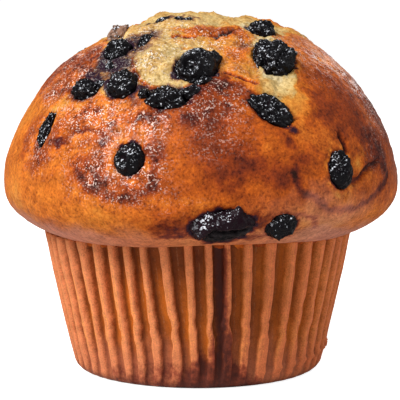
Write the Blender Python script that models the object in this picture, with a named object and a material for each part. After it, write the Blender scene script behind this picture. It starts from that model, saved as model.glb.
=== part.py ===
"""A blueberry muffin in its fluted paper case.

The muffin's crumb is one solid: a fluted plug inside the case and a mushroom cap that
overhangs the case's rim. Each blueberry is a solid of its own, set in a socket in the cap.
Lengths named below are in millimetres and angles in degrees. Azimuth 0 faces -Y and runs
towards +X; latitude is measured up from the cap's widest ring, seen from the cap's centre.
The origin is the middle of the case's flat base, with +Z up.
"""

import math

import bmesh
import bpy
from mathutils import Matrix, Vector

MM = 0.001

# Cap: two superellipse quarters around a centre at the height of the widest ring.
CAP_RADIUS = 44.1
CAP_RISE = 36.4
CAP_DROP = 15.7
DOME_POWER = 1.95
UNDER_POWER = 2.3
WIDEST_HEIGHT = 41.8
CAP_SHIFT = 0.45
LIP_LATITUDE = -18.6
CAP_COLUMNS = 96
CAP_LATITUDES = (LIP_LATITUDE, -10, 0, 9, 18, 27, 37, 48, 61, 76)

# The rim and the lip over it sit higher at the front: azimuth, spread as an angle, lift.
FRONT_LIFT = (4, 45, 1.3)

# Lumps of the cap: azimuth, latitude, reach as an angle, rise.
LUMPS = {
    "left shoulder": (-72, 38, 16, 0.6),
    "pale mound": (-18, 42, 9, 1.4),
    "left summit": (-68, 74, 12, 0.8),
    "left flank": (-92, 20, 15, -1.0),
    "right flank": (94, 24, 16, -0.6),
    "right shoulder": (82, 52, 20, 0.7),
    "right swelling": (40, 7, 15, 0.7),
    "front lip": (-14, -10, 16, 0.4),
    "brow": (6, 30, 12, 0.5),
    "back shoulder": (140, 30, 24, 1.1),
    "back swelling": (-150, 8, 20, 0.8),
    "back left hollow": (-132, 22, 14, -0.6),
}
ROUND_WAVES = ((2, 0.35, 20), (3, 0.3, 75), (5, 0.18, 140))

# Paper case: a flat disc, a rounded corner and a leaning wall of pleats.
PLEATS = 48
FIRST_RIDGE = -2.2
BASE_RADIUS = 25.0
CORNER_RADIUS = 27.5
CORNER_HEIGHT = 2.6
RIM_RADIUS = 33.0
RIM_HEIGHT = 30.0
PLEAT_DEPTH_AT_CORNER = 0.9
PLEAT_DEPTH_AT_RIM = 1.7
RIDGE_SHARE = 0.30
VALLEY_SHARE = 0.34
PAPER = 0.4
GAP = 0.3

# Blueberries: azimuth, latitude, half width, half height, half depth, how far it stands
# proud of the crust, and the lean and turn of its crown away from straight out.
BERRIES = {
    "berry_left": (-19, 11, 3.8, 3.9, 3.6, 1.4, 20, 200),
    "berry_right": (41, 7, 3.5, 4.1, 3.8, 1.6, 35, 80),
    "berry_burst": (6, -8, 7.4, 4.4, 4.4, 1.8, 60, 90),
    "berry_small": (23, -8, 3.3, 3.3, 3.2, 1.5, 40, 300),
    "berry_sunken": (23, 25, 4.6, 4.8, 4.0, 0.9, 30, 150),
    "berry_wrinkled": (34, 45, 4.7, 5.0, 4.8, 3.1, 70, 60),
    "berry_skyline": (48, 62, 2.7, 3.2, 3.2, 2.2, 40, 10),
    "berry_crowned": (-1, 41, 4.8, 5.3, 5.0, 3.0, 35, 225),
    "berry_wedge": (-10, 29, 4.3, 3.3, 3.6, 1.5, 60, 0),
    "berry_round": (-27, 33, 3.7, 3.5, 3.7, 1.9, 45, 110),
    "berry_bleeding": (-42, 31, 3.1, 2.9, 3.1, 1.4, 50, 180),
    "berry_upper": (-41, 48, 3.4, 3.2, 3.4, 1.9, 30, 270),
    "berry_slot": (-30, 54, 1.7, 3.2, 2.6, 0.9, 60, 90),
    "berry_veiled": (-66, 59, 3.0, 3.0, 3.0, 1.4, 25, 90),
    "berry_crater": (-52, 18, 2.3, 4.3, 2.8, 0.8, 65, 90),
    "berry_back_1": (119, 31, 4.6, 4.4, 4.2, 1.7, 25, 140),
    "berry_back_2": (130, 8, 3.8, 4.2, 3.8, 1.6, 60, 20),
    "berry_back_3": (148, 44, 5.0, 4.7, 4.6, 2.7, 40, 260),
    "berry_back_4": (-170, 22, 4.4, 4.0, 4.0, 1.8, 30, 100),
    "berry_back_5": (-141, 5, 3.6, 3.8, 3.6, 1.4, 50, 200),
    "berry_back_6": (-122, 40, 4.7, 4.4, 4.4, 2.3, 35, 320),
    "berry_back_7": (-106, 14, 4.0, 4.4, 3.8, 1.4, 55, 60),
    "berry_back_8": (-178, 64, 4.2, 4.0, 4.2, 2.3, 20, 180),
}
BERRY_COLUMNS = 10
BERRY_POLAR_ANGLES = (56, 94, 136)
CROWN_ANGLE = 24
CROWN_LOBE = 0.07
CRATER_SHARE = 0.5
CRATER_DEPTH = 0.24

COLOURS = {
    "crust": ((0.52, 0.20, 0.05, 1.0), 0.5),
    "paper": ((0.45, 0.17, 0.06, 1.0), 0.85),
    "berry": ((0.012, 0.010, 0.018, 1.0), 0.35),
}


def clear_scene():
    for obj in list(bpy.data.objects):
        bpy.data.objects.remove(obj)


def material(name):
    """A Principled material of the finish's colour and roughness."""
    colour, roughness = COLOURS[name]
    made = bpy.data.materials.get(name) or bpy.data.materials.new(name)
    made.use_nodes = True
    shader = made.node_tree.nodes["Principled BSDF"]
    shader.inputs["Base Color"].default_value = colour
    shader.inputs["Roughness"].default_value = roughness
    shader.inputs["Metallic"].default_value = 0.0
    return made


def new_object(name, mesh, finish):
    obj = bpy.data.objects.new(name, mesh)
    bpy.context.scene.collection.objects.link(obj)
    obj.data.materials.append(material(finish))
    return obj


def mesh_of(bm, name):
    """Turns the bmesh into a mesh with its faces pointing out, smooth but for sharp edges."""
    bmesh.ops.recalc_face_normals(bm, faces=bm.faces)
    mesh = bpy.data.meshes.new(name)
    bm.to_mesh(mesh)
    bm.free()
    mesh.shade_smooth()
    mesh.set_sharp_from_angle(angle=math.radians(40))
    return mesh


def add_ring(bm, points):
    """A closed loop of edges through the points."""
    verts = [bm.verts.new(point) for point in points]
    edges = [bm.edges.new((vert, verts[i - 1])) for i, vert in enumerate(verts)]
    return verts, edges


def bridge(bm, rings):
    """Skins a row of rings that have the same number of points."""
    for (_, lower), (_, upper) in zip(rings, rings[1:]):
        bmesh.ops.bridge_loops(bm, edges=lower + upper)


def bridge_halving(bm, fine, coarse):
    """Joins a ring to one with half as many points, three triangles to each coarse edge."""
    for i, corner in enumerate(coarse):
        following = coarse[(i + 1) % len(coarse)]
        left, middle, right = (fine[(2 * i + k) % len(fine)] for k in range(3))
        bm.faces.new((left, middle, corner))
        bm.faces.new((middle, following, corner))
        bm.faces.new((middle, right, following))


def fan(bm, verts, tip):
    """Closes a ring with triangles to a tip point."""
    centre = bm.verts.new(tip)
    for i, vert in enumerate(verts):
        bm.faces.new((verts[i - 1], vert, centre))


def direction(azimuth, latitude):
    a, b = math.radians(azimuth), math.radians(latitude)
    return Vector((math.sin(a) * math.cos(b), -math.cos(a) * math.cos(b), math.sin(b)))


def front_lift(azimuth):
    """How much higher the rim and the lip sit at an azimuth."""
    middle, spread, lift = FRONT_LIFT
    apart = (azimuth - middle + 180) % 360 - 180
    return lift * math.exp(-((apart / spread) ** 2))


def cap_point(azimuth, latitude):
    """A point of the cap's outer surface, before the sockets are cut."""
    lat = math.radians(latitude)
    rise, power = (CAP_RISE, DOME_POWER) if lat > 0 else (CAP_DROP, UNDER_POWER)
    across = abs(math.cos(lat)) / CAP_RADIUS
    along = abs(math.sin(lat)) / rise
    reach = (across**power + along**power) ** (-1 / power)
    for count, size, phase in ROUND_WAVES:
        reach += size * math.cos(math.radians(count * azimuth + phase)) * math.cos(lat)
    out = direction(azimuth, latitude)
    for lump_azimuth, lump_latitude, spread, lift in LUMPS.values():
        apart = out.angle(direction(lump_azimuth, lump_latitude))
        reach += lift * math.exp(-((math.degrees(apart) / spread) ** 2))
    raised = front_lift(azimuth) * min(max(latitude / LIP_LATITUDE, 0.0), 1.0) ** 2
    return Vector((CAP_SHIFT, 0, WIDEST_HEIGHT + raised)) + out * reach


def cap_normal(azimuth, latitude, step=1.0):
    east = cap_point(azimuth + step, latitude) - cap_point(azimuth - step, latitude)
    north = cap_point(azimuth, latitude + step) - cap_point(azimuth, latitude - step)
    return east.cross(north).normalized()


def pleated_ring(radius, depth):
    """The case's outline at one height: PLEATS ridges with flat tops and flat valleys."""
    pitch = 2 * math.pi / PLEATS
    points = []
    for pleat in range(PLEATS):
        middle = math.radians(FIRST_RIDGE) + pleat * pitch
        for offset, share, side in (
            (-RIDGE_SHARE, depth, 1),
            (RIDGE_SHARE, depth, 1),
            (1 - VALLEY_SHARE, depth, -1),
            (1 + VALLEY_SHARE, depth, -1),
        ):
            angle = middle + offset * pitch / 2
            reach = radius + side * share / 2
            points.append((reach * math.sin(angle), -reach * math.cos(angle)))
    return points


def inset(outline, distance):
    """Moves each side of a closed outline inwards by the distance, mitring the corners."""
    points = [Vector(point) for point in outline]
    moved = []
    for i, point in enumerate(points):
        before = (point - points[i - 1]).normalized()
        after = (points[(i + 1) % len(points)] - point).normalized()
        inward = Vector((-before.y - after.y, before.x + after.x)).normalized()
        square = Vector((-before.y, before.x))
        moved.append(point + inward * distance / max(inward.dot(square), 0.5))
    return moved


def at_height(outline, height):
    """The outline as a ring of points in metres; one at the rim follows its front lift."""
    ring = []
    for x, y in outline:
        azimuth = math.degrees(math.atan2(x, -y))
        raised = front_lift(azimuth) if height >= RIM_HEIGHT else 0.0
        ring.append(Vector((x, y, height + raised)) * MM)
    return ring


def wall_levels():
    """The case's outline and height at the base's edge, the corner and the rim."""
    return (
        (pleated_ring(BASE_RADIUS, 0.0), 0.0),
        (pleated_ring(CORNER_RADIUS, PLEAT_DEPTH_AT_CORNER), CORNER_HEIGHT),
        (pleated_ring(RIM_RADIUS, PLEAT_DEPTH_AT_RIM), RIM_HEIGHT),
    )


def make_case():
    """The paper case: its outer face, thickened inwards."""
    bm = bmesh.new()
    rings = [add_ring(bm, at_height(outline, z)) for outline, z in wall_levels()]
    bridge(bm, rings)
    bm.faces.new(rings[0][0])
    case = new_object("paper_case", mesh_of(bm, "paper_case"), "paper")
    shell = case.modifiers.new("paper thickness", "SOLIDIFY")
    shell.thickness = PAPER * MM
    shell.offset = -1.0
    shell.use_even_offset = True
    return case


def make_crumb():
    """The crumb: a pleated plug inside the case, and the cap over the case's rim."""
    bm = bmesh.new()
    clearance = PAPER + GAP
    rings = []
    for (outline, _), z in zip(wall_levels(), (clearance, CORNER_HEIGHT, RIM_HEIGHT + GAP)):
        rings.append(add_ring(bm, at_height(inset(outline, clearance), z)))
    bridge(bm, rings)
    bm.faces.new(rings[0][0])

    step = 360 / CAP_COLUMNS
    first = FIRST_RIDGE - RIDGE_SHARE * 180 / PLEATS
    cap = []
    for latitude in CAP_LATITUDES:
        azimuths = (first + column * step for column in range(CAP_COLUMNS))
        cap.append(add_ring(bm, [cap_point(az, latitude) * MM for az in azimuths]))
    bridge_halving(bm, rings[-1][0], cap[0][0])
    bridge(bm, cap)
    fan(bm, cap[-1][0], cap_point(0, 90) * MM)
    return new_object("crumb", mesh_of(bm, "crumb"), "crust")


def berry_points(angle, size, lobed=False):
    """One ring of a berry of half sizes size, at a polar angle from its crown."""
    polar = math.radians(angle)
    ring = []
    for column in range(BERRY_COLUMNS):
        turn = 2 * math.pi * column / BERRY_COLUMNS
        lobe = 1 - (CROWN_LOBE if lobed and column % 2 else 0.0)
        across = math.sin(polar)
        unit = (across * math.cos(turn), across * math.sin(turn), math.cos(polar))
        ring.append(Vector([lobe * part * half for part, half in zip(unit, size)]))
    return ring


def berry_mesh(name, size, crowned):
    """An ellipsoid of half sizes size, in millimetres, with a lobed crown round a crater."""
    bm = bmesh.new()
    rings = [add_ring(bm, berry_points(CROWN_ANGLE, size, lobed=crowned))]
    rings += [add_ring(bm, berry_points(angle, size)) for angle in BERRY_POLAR_ANGLES]
    bridge(bm, rings)
    if crowned:
        sunk = Vector((0, 0, CRATER_DEPTH * size[2]))
        floor = [point * CRATER_SHARE for point in berry_points(CROWN_ANGLE, size)]
        lift = Vector((0, 0, floor[0].z))
        floor_ring = add_ring(bm, [point + lift - sunk for point in floor])
        bridge(bm, [floor_ring, rings[0]])
        fan(bm, floor_ring[0], lift * 2 - sunk * 1.2)
    else:
        fan(bm, rings[0][0], (0, 0, size[2]))
    fan(bm, rings[-1][0], (0, 0, -size[2]))
    return mesh_of(bm, name)


def berry_frame(azimuth, latitude, deep, proud):
    """Where a berry sits: its centre under the crust, with local Z straight out."""
    out = cap_normal(azimuth, latitude)
    east = Vector((math.cos(math.radians(azimuth)), math.sin(math.radians(azimuth)), 0))
    east = (east - out * east.dot(out)).normalized()
    north = out.cross(east)
    place = Matrix((east, north, out)).transposed().to_4x4()
    place.translation = cap_point(azimuth, latitude) - out * (deep - proud)
    return place


def crowned_shape(mesh, lean, turn, size):
    """Leans the round berry's crown over, then gives the berry its three half sizes."""
    swing = Matrix.Rotation(math.radians(turn), 4, "Z")
    tip = swing @ Matrix.Rotation(math.radians(lean), 4, "Y")
    mesh.transform(Matrix.Diagonal((*size, 1)) @ tip)


def make_berry(name, spec, crumb):
    """A berry in its own socket, which is cut a gap wider than the berry."""
    azimuth, latitude, across, up, deep, proud, lean, turn = spec
    place = berry_frame(azimuth, latitude, deep, proud)
    place.translation *= MM
    unit = (1.0, 1.0, 1.0)

    berry = new_object(name, berry_mesh(name, unit, crowned=True), "berry")
    crowned_shape(berry.data, lean, turn, (across * MM, up * MM, deep * MM))
    berry.matrix_world = place

    socket_name = name.replace("berry", "socket")
    socket = new_object(socket_name, berry_mesh(socket_name, unit, crowned=False), "crust")
    wide = [(half + GAP) * MM for half in (across, up, deep)]
    crowned_shape(socket.data, lean, turn, wide)
    socket.matrix_world = place
    socket.hide_render = True
    socket.display_type = "WIRE"

    cut = crumb.modifiers.new(socket_name, "BOOLEAN")
    cut.operation = "DIFFERENCE"
    cut.solver = "EXACT"
    cut.object = socket
    return berry


def main():
    clear_scene()
    muffin = bpy.data.objects.new("muffin", None)
    bpy.context.scene.collection.objects.link(muffin)
    make_case().parent = muffin
    crumb = make_crumb()
    crumb.parent = muffin
    for name, spec in BERRIES.items():
        make_berry(name, spec, crumb).parent = muffin


main()
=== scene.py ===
"""A blueberry muffin: baked crust, blueberries and a pleated paper case.

The file is laid out as an add-on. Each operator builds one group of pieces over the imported
frame, and main() runs them in order. Shape rules work in millimetres about the middle of
the case's base; azimuth 0 faces -Y and grows towards +X, and latitude is measured up from
the cap's widest ring, seen from the cap's centre. Meshes are made in metres.
"""

import math

import bpy
import numpy as np
from mathutils import Matrix, Vector, noise


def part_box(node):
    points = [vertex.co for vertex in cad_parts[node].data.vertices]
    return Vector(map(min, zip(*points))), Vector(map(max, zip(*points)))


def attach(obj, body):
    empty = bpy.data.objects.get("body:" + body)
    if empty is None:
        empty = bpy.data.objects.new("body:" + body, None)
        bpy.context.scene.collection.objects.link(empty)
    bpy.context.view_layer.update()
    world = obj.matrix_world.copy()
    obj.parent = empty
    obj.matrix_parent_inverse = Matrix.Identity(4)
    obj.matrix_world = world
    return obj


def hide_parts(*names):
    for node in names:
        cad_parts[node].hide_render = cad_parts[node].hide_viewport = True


bl_info = {
    "name": "Blueberry Muffin",
    "version": (1, 0, 0),
    "blender": (4, 5, 0),
    "location": "3D View > Sidebar > Muffin",
    "description": "Builds a baked blueberry muffin in its pleated paper case",
    "category": "Add Mesh",
}

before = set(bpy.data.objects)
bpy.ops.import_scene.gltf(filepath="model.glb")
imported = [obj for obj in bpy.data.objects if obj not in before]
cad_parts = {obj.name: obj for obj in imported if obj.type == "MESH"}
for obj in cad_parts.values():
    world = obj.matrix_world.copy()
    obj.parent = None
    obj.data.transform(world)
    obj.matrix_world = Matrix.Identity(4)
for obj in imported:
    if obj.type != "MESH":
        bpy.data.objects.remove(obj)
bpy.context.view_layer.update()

MM = 0.001

# ---------------------------------------------------------------- the cap's form

# Roundness of the cap above and below its widest ring: 2 is an ellipse.
DOME_POWER = 1.95
UNDER_POWER = 2.3
# Waves round the cap: how many, their size in mm, and where they start.
ROUND_WAVES = ((2, 0.35, 20), (3, 0.3, 75), (5, 0.18, 140))
# Swellings of the cap: azimuth, latitude, spread in degrees, height in mm.
LUMPS = {
    "left shoulder": (-72, 38, 16, 0.6),
    "pale mound": (-18, 42, 9, 1.4),
    "left summit": (-68, 74, 12, 0.8),
    "left flank": (-92, 20, 15, -1.0),
    "right flank": (94, 24, 16, -0.6),
    "right shoulder": (82, 52, 20, 0.7),
    "right swelling": (40, 7, 15, 0.7),
    "front lip": (-14, -10, 16, 0.4),
    "brow": (6, 30, 12, 0.5),
    "back shoulder": (140, 30, 24, 1.1),
    "back swelling": (-150, 8, 20, 0.8),
    "back left hollow": (-132, 22, 14, -0.6),
}
LIP_LATITUDE = -18.6
# The lip is higher in front: middle and spread in degrees, and lift in mm.
FRONT_LIFT = (4, 45, 1.3)
# Above this latitude the points lie in a square patch.
CROWN_LATITUDE = 40.0

# Where the pale, broken crown meets the browned side: azimuth, latitude.
CROWN_EDGE = (
    (-180, 47), (-120, 50), (-90, 58), (-58, 54), (-48, 44), (-38, 31), (-12, 29), (0, 34),
    (9, 39), (17, 33), (24, 28), (32, 28), (38, 36), (43, 50), (52, 58), (80, 57), (112, 46),
    (145, 43), (180, 47),
)

# Patches of crust: azimuth, latitude, half width, half height, turn, change in browning.
BROWNING = {
    "left shoulder": (-56, 43, 4, 4, 0, 0.30),
    "left outline": (-72, 36, 5, 6, 0, 0.26),
    "left shoulder foot": (-58, 31, 4, 3, 30, 0.10),
    "yellow gap": (-48, 40, 2.5, 4, 30, -0.14),
    "gold above the crater": (-47, 28, 4, 3, 0, -0.16),
    "left upper blotch": (-35, 24, 3.5, 2, 10, 0.18),
    "middle upper blotch": (-24, 22, 3, 1.5, -15, 0.18),
    "right upper blotch": (-15, 24, 2.5, 1.5, 10, 0.16),
    "streak by the crater": (-44, 15, 3, 1, 0, 0.18),
    "streak middle": (-35, 17, 3.5, 1, 15, 0.20),
    "streak end": (-27, 16, 2.5, 1, -15, 0.18),
    "outer left": (-60, 15, 2.5, 5, -20, 0.16),
    "crater's foot": (-49, 11, 2.5, 1.5, 0, 0.20),
    "left of the left berry": (-31, 7, 5, 4, 15, 0.14),
    "above the left berry": (-25, 17, 6, 2, 0, 0.08),
    "beside the left berry": (-12, 12, 2, 2, 0, 0.20),
    "under the left berry": (-21, 4, 5, 2, 0, 0.10),
    "over the centre": (-1, 22, 2.5, 2, 20, 0.30),
    "under the crowned berry": (5, 34, 3.5, 2, -15, 0.30),
    "brow": (10, 32, 5, 2.5, -12, 0.30),
    "left brow": (2, 27, 3, 2.5, 0, 0.16),
    "brow's foot": (6, 22, 2, 3, 10, 0.20),
    "orange streak": (11, 23, 1.5, 3, 10, -0.05),
    "centre": (2, 17, 3, 2.5, 0, 0.06),
    "front": (8, 11, 6, 4, 0, 0.16),
    "front right": (16, 8, 6, 3, -5, 0.18),
    "beside the front right": (24, 8, 3, 3, 0, 0.12),
    "right spots": (25, 15, 1.5, 1, 0, 0.26),
    "right purple": (29, 10, 2, 1.5, 0, 0.18),
    "gold right of the centre": (24, 12, 6, 3.5, 0, -0.10),
    "gold above the right berry": (36, 15, 5, 3, -10, -0.12),
    "gold by the right berry": (48, 8, 2.5, 2, 0, -0.16),
    "gold under the right berry": (42, 0, 3.5, 2, 0, -0.14),
    "right band": (60, 10, 4, 5, -20, 0.20),
    "upper right band": (56, 16, 3.5, 2.5, 0, 0.18),
    "right shoulder": (49, 29, 8, 7, -30, 0.26),
    "right outline": (80, 25, 6, 12, 0, 0.04),
    "low front gold": (0, -2, 10, 2.5, 0, -0.08),
    "low front": (-7, -3, 3, 1.5, 0, 0.08),
    "left cheek": (-52, 6, 6, 8, 0, 0.05),
    "left gold": (-46, 19, 6, 4, 0, 0.06),
    "low left of the burst berry": (-6, -8, 4, 3, 10, 0.20),
    "low right gold": (36, -5, 10, 3.5, 0, -0.12),
    "back left": (-118, 12, 9, 4, 0, 0.20),
    "back left low": (-140, 2, 6, 3, 30, 0.16),
    "back right": (118, 20, 7, 5, 30, 0.22),
    "back middle": (172, 8, 10, 4, 0, 0.18),
    "back upper": (-165, 35, 7, 4, 20, 0.24),
}

# The same for the pale crown, which is only browned in places.
CROWN_BROWNING = {
    "orange island": (12, 63, 8, 3.5, 3, 0.42),
    "gold right of the island": (20, 53, 5, 5, 0, 0.20),
    "gold between the tall berries": (16, 43, 5, 6, -10, 0.22),
    "gold above the mound": (-4, 54, 6, 1.5, 6, 0.08),
    "mound's rim": (-25, 39, 1, 3, 15, 0.22),
    "veiled berry": (-63, 60, 3, 3, 0, 0.12),
    "streak": (31, 25, 3, 3, 0, 0.10),
    "back crown": (160, 62, 8, 4, 0, 0.28),
    "side crown": (100, 62, 6, 4, 40, 0.26),
    "left crown": (-110, 66, 6, 4, 40, 0.24),
}

# Patches stained by berry juice: azimuth, latitude, half width, half height, turn, depth.
STAINS = {
    "bruise": (-38, 41, 6, 6, 10, 1.15),
    "low bruise": (-42, 36, 4, 4, 0, 1.1),
    "upper bruise": (-35, 51, 4, 6, -10, 1.05),
    "slot": (-30, 54, 2, 5, 15, 0.9),
    "mound's foot": (-19, 30, 2.5, 2, 0, 1.0),
    "wedge link": (-2, 31, 3, 2, 20, 1.0),
    "wedge foot": (-5, 28, 2.5, 1, 25, 0.7),
    "under the crowned berry": (7, 37, 2, 1.5, 0, 0.6),
    "brow": (-1, 22, 2, 1, 20, 0.45),
    "streak by the crater": (-43, 15, 3, 1, 5, 0.6),
    "streak middle": (-34, 17, 3, 1, 15, 0.65),
    "streak end": (-27, 16, 2, 1, -20, 0.5),
    "beside the left berry": (-12, 12, 1.5, 1.5, 0, 0.45),
    "left wing": (-31, 6, 2, 2, 0, 0.12),
    "smudge": (25, 53, 3, 3.5, 0, 0.6),
    "top fragments": (-39, 72, 2, 4, 0, 0.95),
    "top dots": (-18, 74, 1.5, 2.5, 0, 0.9),
    "left of the burst berry": (-6, -9, 4, 3, 10, 0.6),
    "under the burst berry": (7, -13, 7.5, 2, 0, 0.85),
    "right of the burst berry": (16, -6, 2, 2, 0, 0.8),
    "under the small berry": (25, -12, 4.5, 1.5, 0, 0.6),
    "sunken pit's left": (17, 30, 1.5, 1.5, 0, 0.6),
    "sunken pit's foot": (28, 21, 3, 1.5, -20, 1.1),
    "right band": (60, 10, 3, 3.5, -15, 0.35),
    "right spots": (25, 15, 1, 0.5, 0, 0.3),
    "right purple": (29, 10, 1.5, 1, 0, 0.35),
    "left shoulder": (-56, 44, 2, 3, 20, 0.35),
    "back fragments": (120, 55, 3, 1.5, 20, 0.8),
    "back bruise": (-160, 42, 4, 2.5, 0, 0.5),
    "side bruise": (-100, 50, 3, 2.5, 0, 0.5),
}

# Glazed patches, where syrup baked to a shine.
GLAZE = {
    "left upper": (-28, 22, 14, 6, -8, 1.0),
    "left berry": (-24, 9, 10, 8, 0, 1.0),
    "left of the crater": (-52, 16, 6, 7, 0, 0.6),
    "left shoulder": (-58, 40, 9, 9, 0, 0.95),
    "left top": (-50, 33, 5, 6, 0, 0.6),
    "brow": (3, 28, 8, 6, 0, 0.65),
    "mound": (-19, 41, 5.5, 6, 0, 1.0),
    "pale top": (-10, 58, 16, 8, 0, 0.65),
    "bruise": (-37, 42, 5, 9, 0, 0.45),
    "middle": (3, 16, 8, 4, 0, 0.3),
    "low front": (-12, -1, 9, 4, 0, 0.3),
    "gold": (16, 45, 6, 6, 0, 0.35),
    "right shoulder": (58, 44, 7, 10, -40, 0.6),
    "right outline": (80, 30, 10, 14, 0, 0.75),
    "right low outline": (86, 4, 7, 8, 0, 0.3),
    "right band": (60, 12, 5, 6, -20, 0.45),
    "crown's edge": (46, 60, 5.5, 4, 0, 0.8),
    "back left": (-125, 28, 14, 7, 0, 0.8),
    "back right": (135, 26, 13, 7, 0, 0.8),
    "back": (-175, 14, 12, 5, 0, 0.6),
}

# Thin dark lines burnt into the crust: path of azimuths and latitudes, width, depth, bake.
CRACKS = (
    (((44, 17), (45, 13), (44, 10)), 1.1, 1.1, 1.0),
    (((45, 4), (49, 4), (54, 7), (60, 8)), 1.1, 1.0, 0.95),
    (((-15, 57), (0, 59), (11, 59), (22, 62), (34, 65)), 0.8, 0.7, 1.0),
    (((0, 63), (10, 66), (20, 64), (29, 67)), 0.6, 0.5, 0.9),
    (((-29, 44), (-25, 38), (-18, 33), (-12, 32)), 0.7, 0.8, 0.75),
    (((9, 39), (14, 37), (20, 34)), 0.7, 0.5, 0.9),
    (((-8, 50), (5, 50)), 0.4, 0.3, 0.35),
    (((-51, 42), (-49, 38)), 0.5, 0.5, 0.8),
    (((100, 50), (112, 53), (125, 51), (138, 56)), 0.6, 0.6, 0.9),
    (((-150, 55), (-165, 58), (176, 55)), 0.6, 0.6, 0.9),
)

# A patch low on the side that steam kept pale: azimuth, latitude, half width, height, turn.
STEAMED = (38, -6, 12, 4, 0)

# A patch of flaking crust: azimuth, latitude, half width, half height, turn.
FLAKY = (50, 10, 5, 3.5, -15)

# Soft dark rims left where syrup pooled round a berry: path, width, browning, juice.
RIMS = (
    (((-35, 8), (-31, 3), (-24, 1), (-17, 1), (-12, 4), (-12, 10)), 1.5, 0.18, 0.12),
    (((26, 8), (27, 2), (36, -3), (46, -4), (58, -1), (66, 4)), 1.2, 0.28, 0.16),
    (((27, -4), (33, -6), (35, -10)), 1.2, 0.24, 0.26),
    (((-52, 22), (-55, 17), (-53, 12)), 1.0, 0.14, 0.10),
    (((118, 1), (124, -2), (132, -2), (140, 2), (142, 8)), 1.3, 0.22, 0.25),
)

# ---------------------------------------------------------------- the case's pleats

# Azimuth of one ridge, then by azimuth how many degrees the ridges stray.
FIRST_RIDGE = -2.2
RIDGE_DRIFT = (
    (-180, 0.0), (-100, 0.4), (-34, -0.2), (-20, -1.5), (-2, 0.0), (13, -1.0), (28, 0.2),
    (48, 2.2), (95, 0.3), (180, 0.0),
)

# ---------------------------------------------------------------- the berries' looks

# Each berry's looks: the lean and turn of its crown, wrinkles, how far its juice bleeds,
# the collar of crust and the pit round it, then the slant and amount of its lengthening.
BERRY_LOOKS = {
    "berry_left": (20, 200, 0.05, 0.15, 0.30, 0.5, 0, 1.0),
    "berry_right": (35, 80, 0.08, 0.15, 0.25, 0.4, 110, 1.04),
    "berry_burst": (60, 90, 0.06, 0.60, 0.12, 0.3, 0, 1.0),
    "berry_small": (40, 300, 0.10, 0.40, 0.15, 0.2, 0, 1.0),
    "berry_sunken": (30, 150, 0.13, 0.60, 0.10, 1.2, -38, 1.26),
    "berry_wrinkled": (70, 60, 0.17, 0.25, 0.25, 0.2, 20, 1.05),
    "berry_skyline": (40, 10, 0.14, 0.25, 0.15, 0.2, -20, 1.08),
    "berry_crowned": (34, 235, 0.05, 0.45, 0.15, 0.3, 40, 1.10),
    "berry_wedge": (60, 0, 0.15, 0.60, 0.10, 0.5, 12, 1.08),
    "berry_round": (45, 110, 0.09, 0.60, 0.12, 0.3, 0, 1.0),
    "berry_bleeding": (50, 180, 0.14, 0.75, 0.10, 0.3, 10, 1.15),
    "berry_upper": (30, 270, 0.12, 0.70, 0.12, 0.3, 0, 1.0),
    "berry_slot": (60, 90, 0.12, 0.70, 0.10, 0.4, -25, 1.1),
    "berry_veiled": (25, 90, 0.16, 0.20, 0.10, 0.1, 0, 1.0),
    "berry_crater": (65, 90, 0.14, 0.25, 0.30, 0.8, 75, 1.08),
}
# Every berry at the back looks like this.
BACK_LOOKS = (45, 120, 0.07, 0.40, 0.25, 0.4, 25, 1.06)

# Angle from a berry's tip to the rim of its crown.
CALYX_RIM = 24.0
# The split berry, and the one under a veil of batter.
FLESHY = ("berry_burst",)
VEILED = ("berry_veiled",)

# Scraps of skin: azimuth, latitude, half width, half height and half depth, how far each
# stands out of the crust, and its slant.
FRAGMENTS = (
    (-18, 30, 1.5, 1.2, 1.2, 0.9, 20),
    (-3, 31, 2.2, 1.3, 1.2, 0.9, 35),
    (1, 35, 1.8, 1.1, 1.1, 0.8, 30),
    (5, 44, 2.0, 1.7, 1.8, 1.9, 40),
    (-36, 33, 1.6, 1.1, 1.0, 0.7, 0),
    (-38, 41, 1.1, 1.6, 1.0, 0.6, 20),
    (-37, 70, 1.5, 1.9, 1.0, 0.8, 10),
    (-24, 72, 1.1, 1.5, 1.0, 0.7, 0),
    (-13, 73, 0.8, 1.2, 0.8, 0.6, 0),
    (118, 54, 2.0, 1.0, 1.0, 0.7, 20),
    (-158, 44, 1.6, 1.1, 1.0, 0.7, 0),
)

# Sides of a bump that get painted glints, as if lit: towards the front left, and the back right.
GLINT_SIDE = (-0.32, -0.62, 0.70)
BACK_GLINT_SIDE = (0.75, 0.25, 0.60)

# The plug inside the case: radius and height of each ring, from the lip down, in mm.
PLUG_RINGS = ((31.1, 30.2), (30.4, 28.0), (25.6, 3.2), (24.2, 0.8))

# Depths in mm: a berry's seat, the groove at the berry's edge, and a pore of the crust.
SEAT_DEPTH = 1.7
GROOVE_DEPTH = 0.45
PORE_DEPTH = 0.3

# Points across one pleat and from the middle of the base to the rim.
PLEAT_COLUMNS = 14
CASE_ROWS = 56

# Colour of the painted glints on a berry.
PAINTED_GLINT_COLOUR = (0.80, 0.83, 0.90, 1.0)

# The camera's lens and sensor in mm, and the point it looks at.
LENS = 162.45
SENSOR = 36.0
AIM = (0.00045, 0.0, 0.03715)


# ---------------------------------------------------------------- settings


def length_setting(name, description, metres):
    """A length that a user can change."""
    return bpy.props.FloatProperty(
        name=name, description=description, default=metres, subtype="DISTANCE", unit="LENGTH"
    )


def colour_setting(name, description, colour):
    """A colour that a user can change."""
    return bpy.props.FloatVectorProperty(
        name=name, description=description, default=(*colour, 1.0), size=4, subtype="COLOR"
    )


def count_setting(name, description, number, least):
    """A whole number with a least value."""
    return bpy.props.IntProperty(name=name, description=description, default=number, min=least)


def power_setting(name, description, watts):
    """A light's power."""
    return bpy.props.FloatProperty(
        name=name, description=description, default=watts, unit="POWER"
    )


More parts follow.
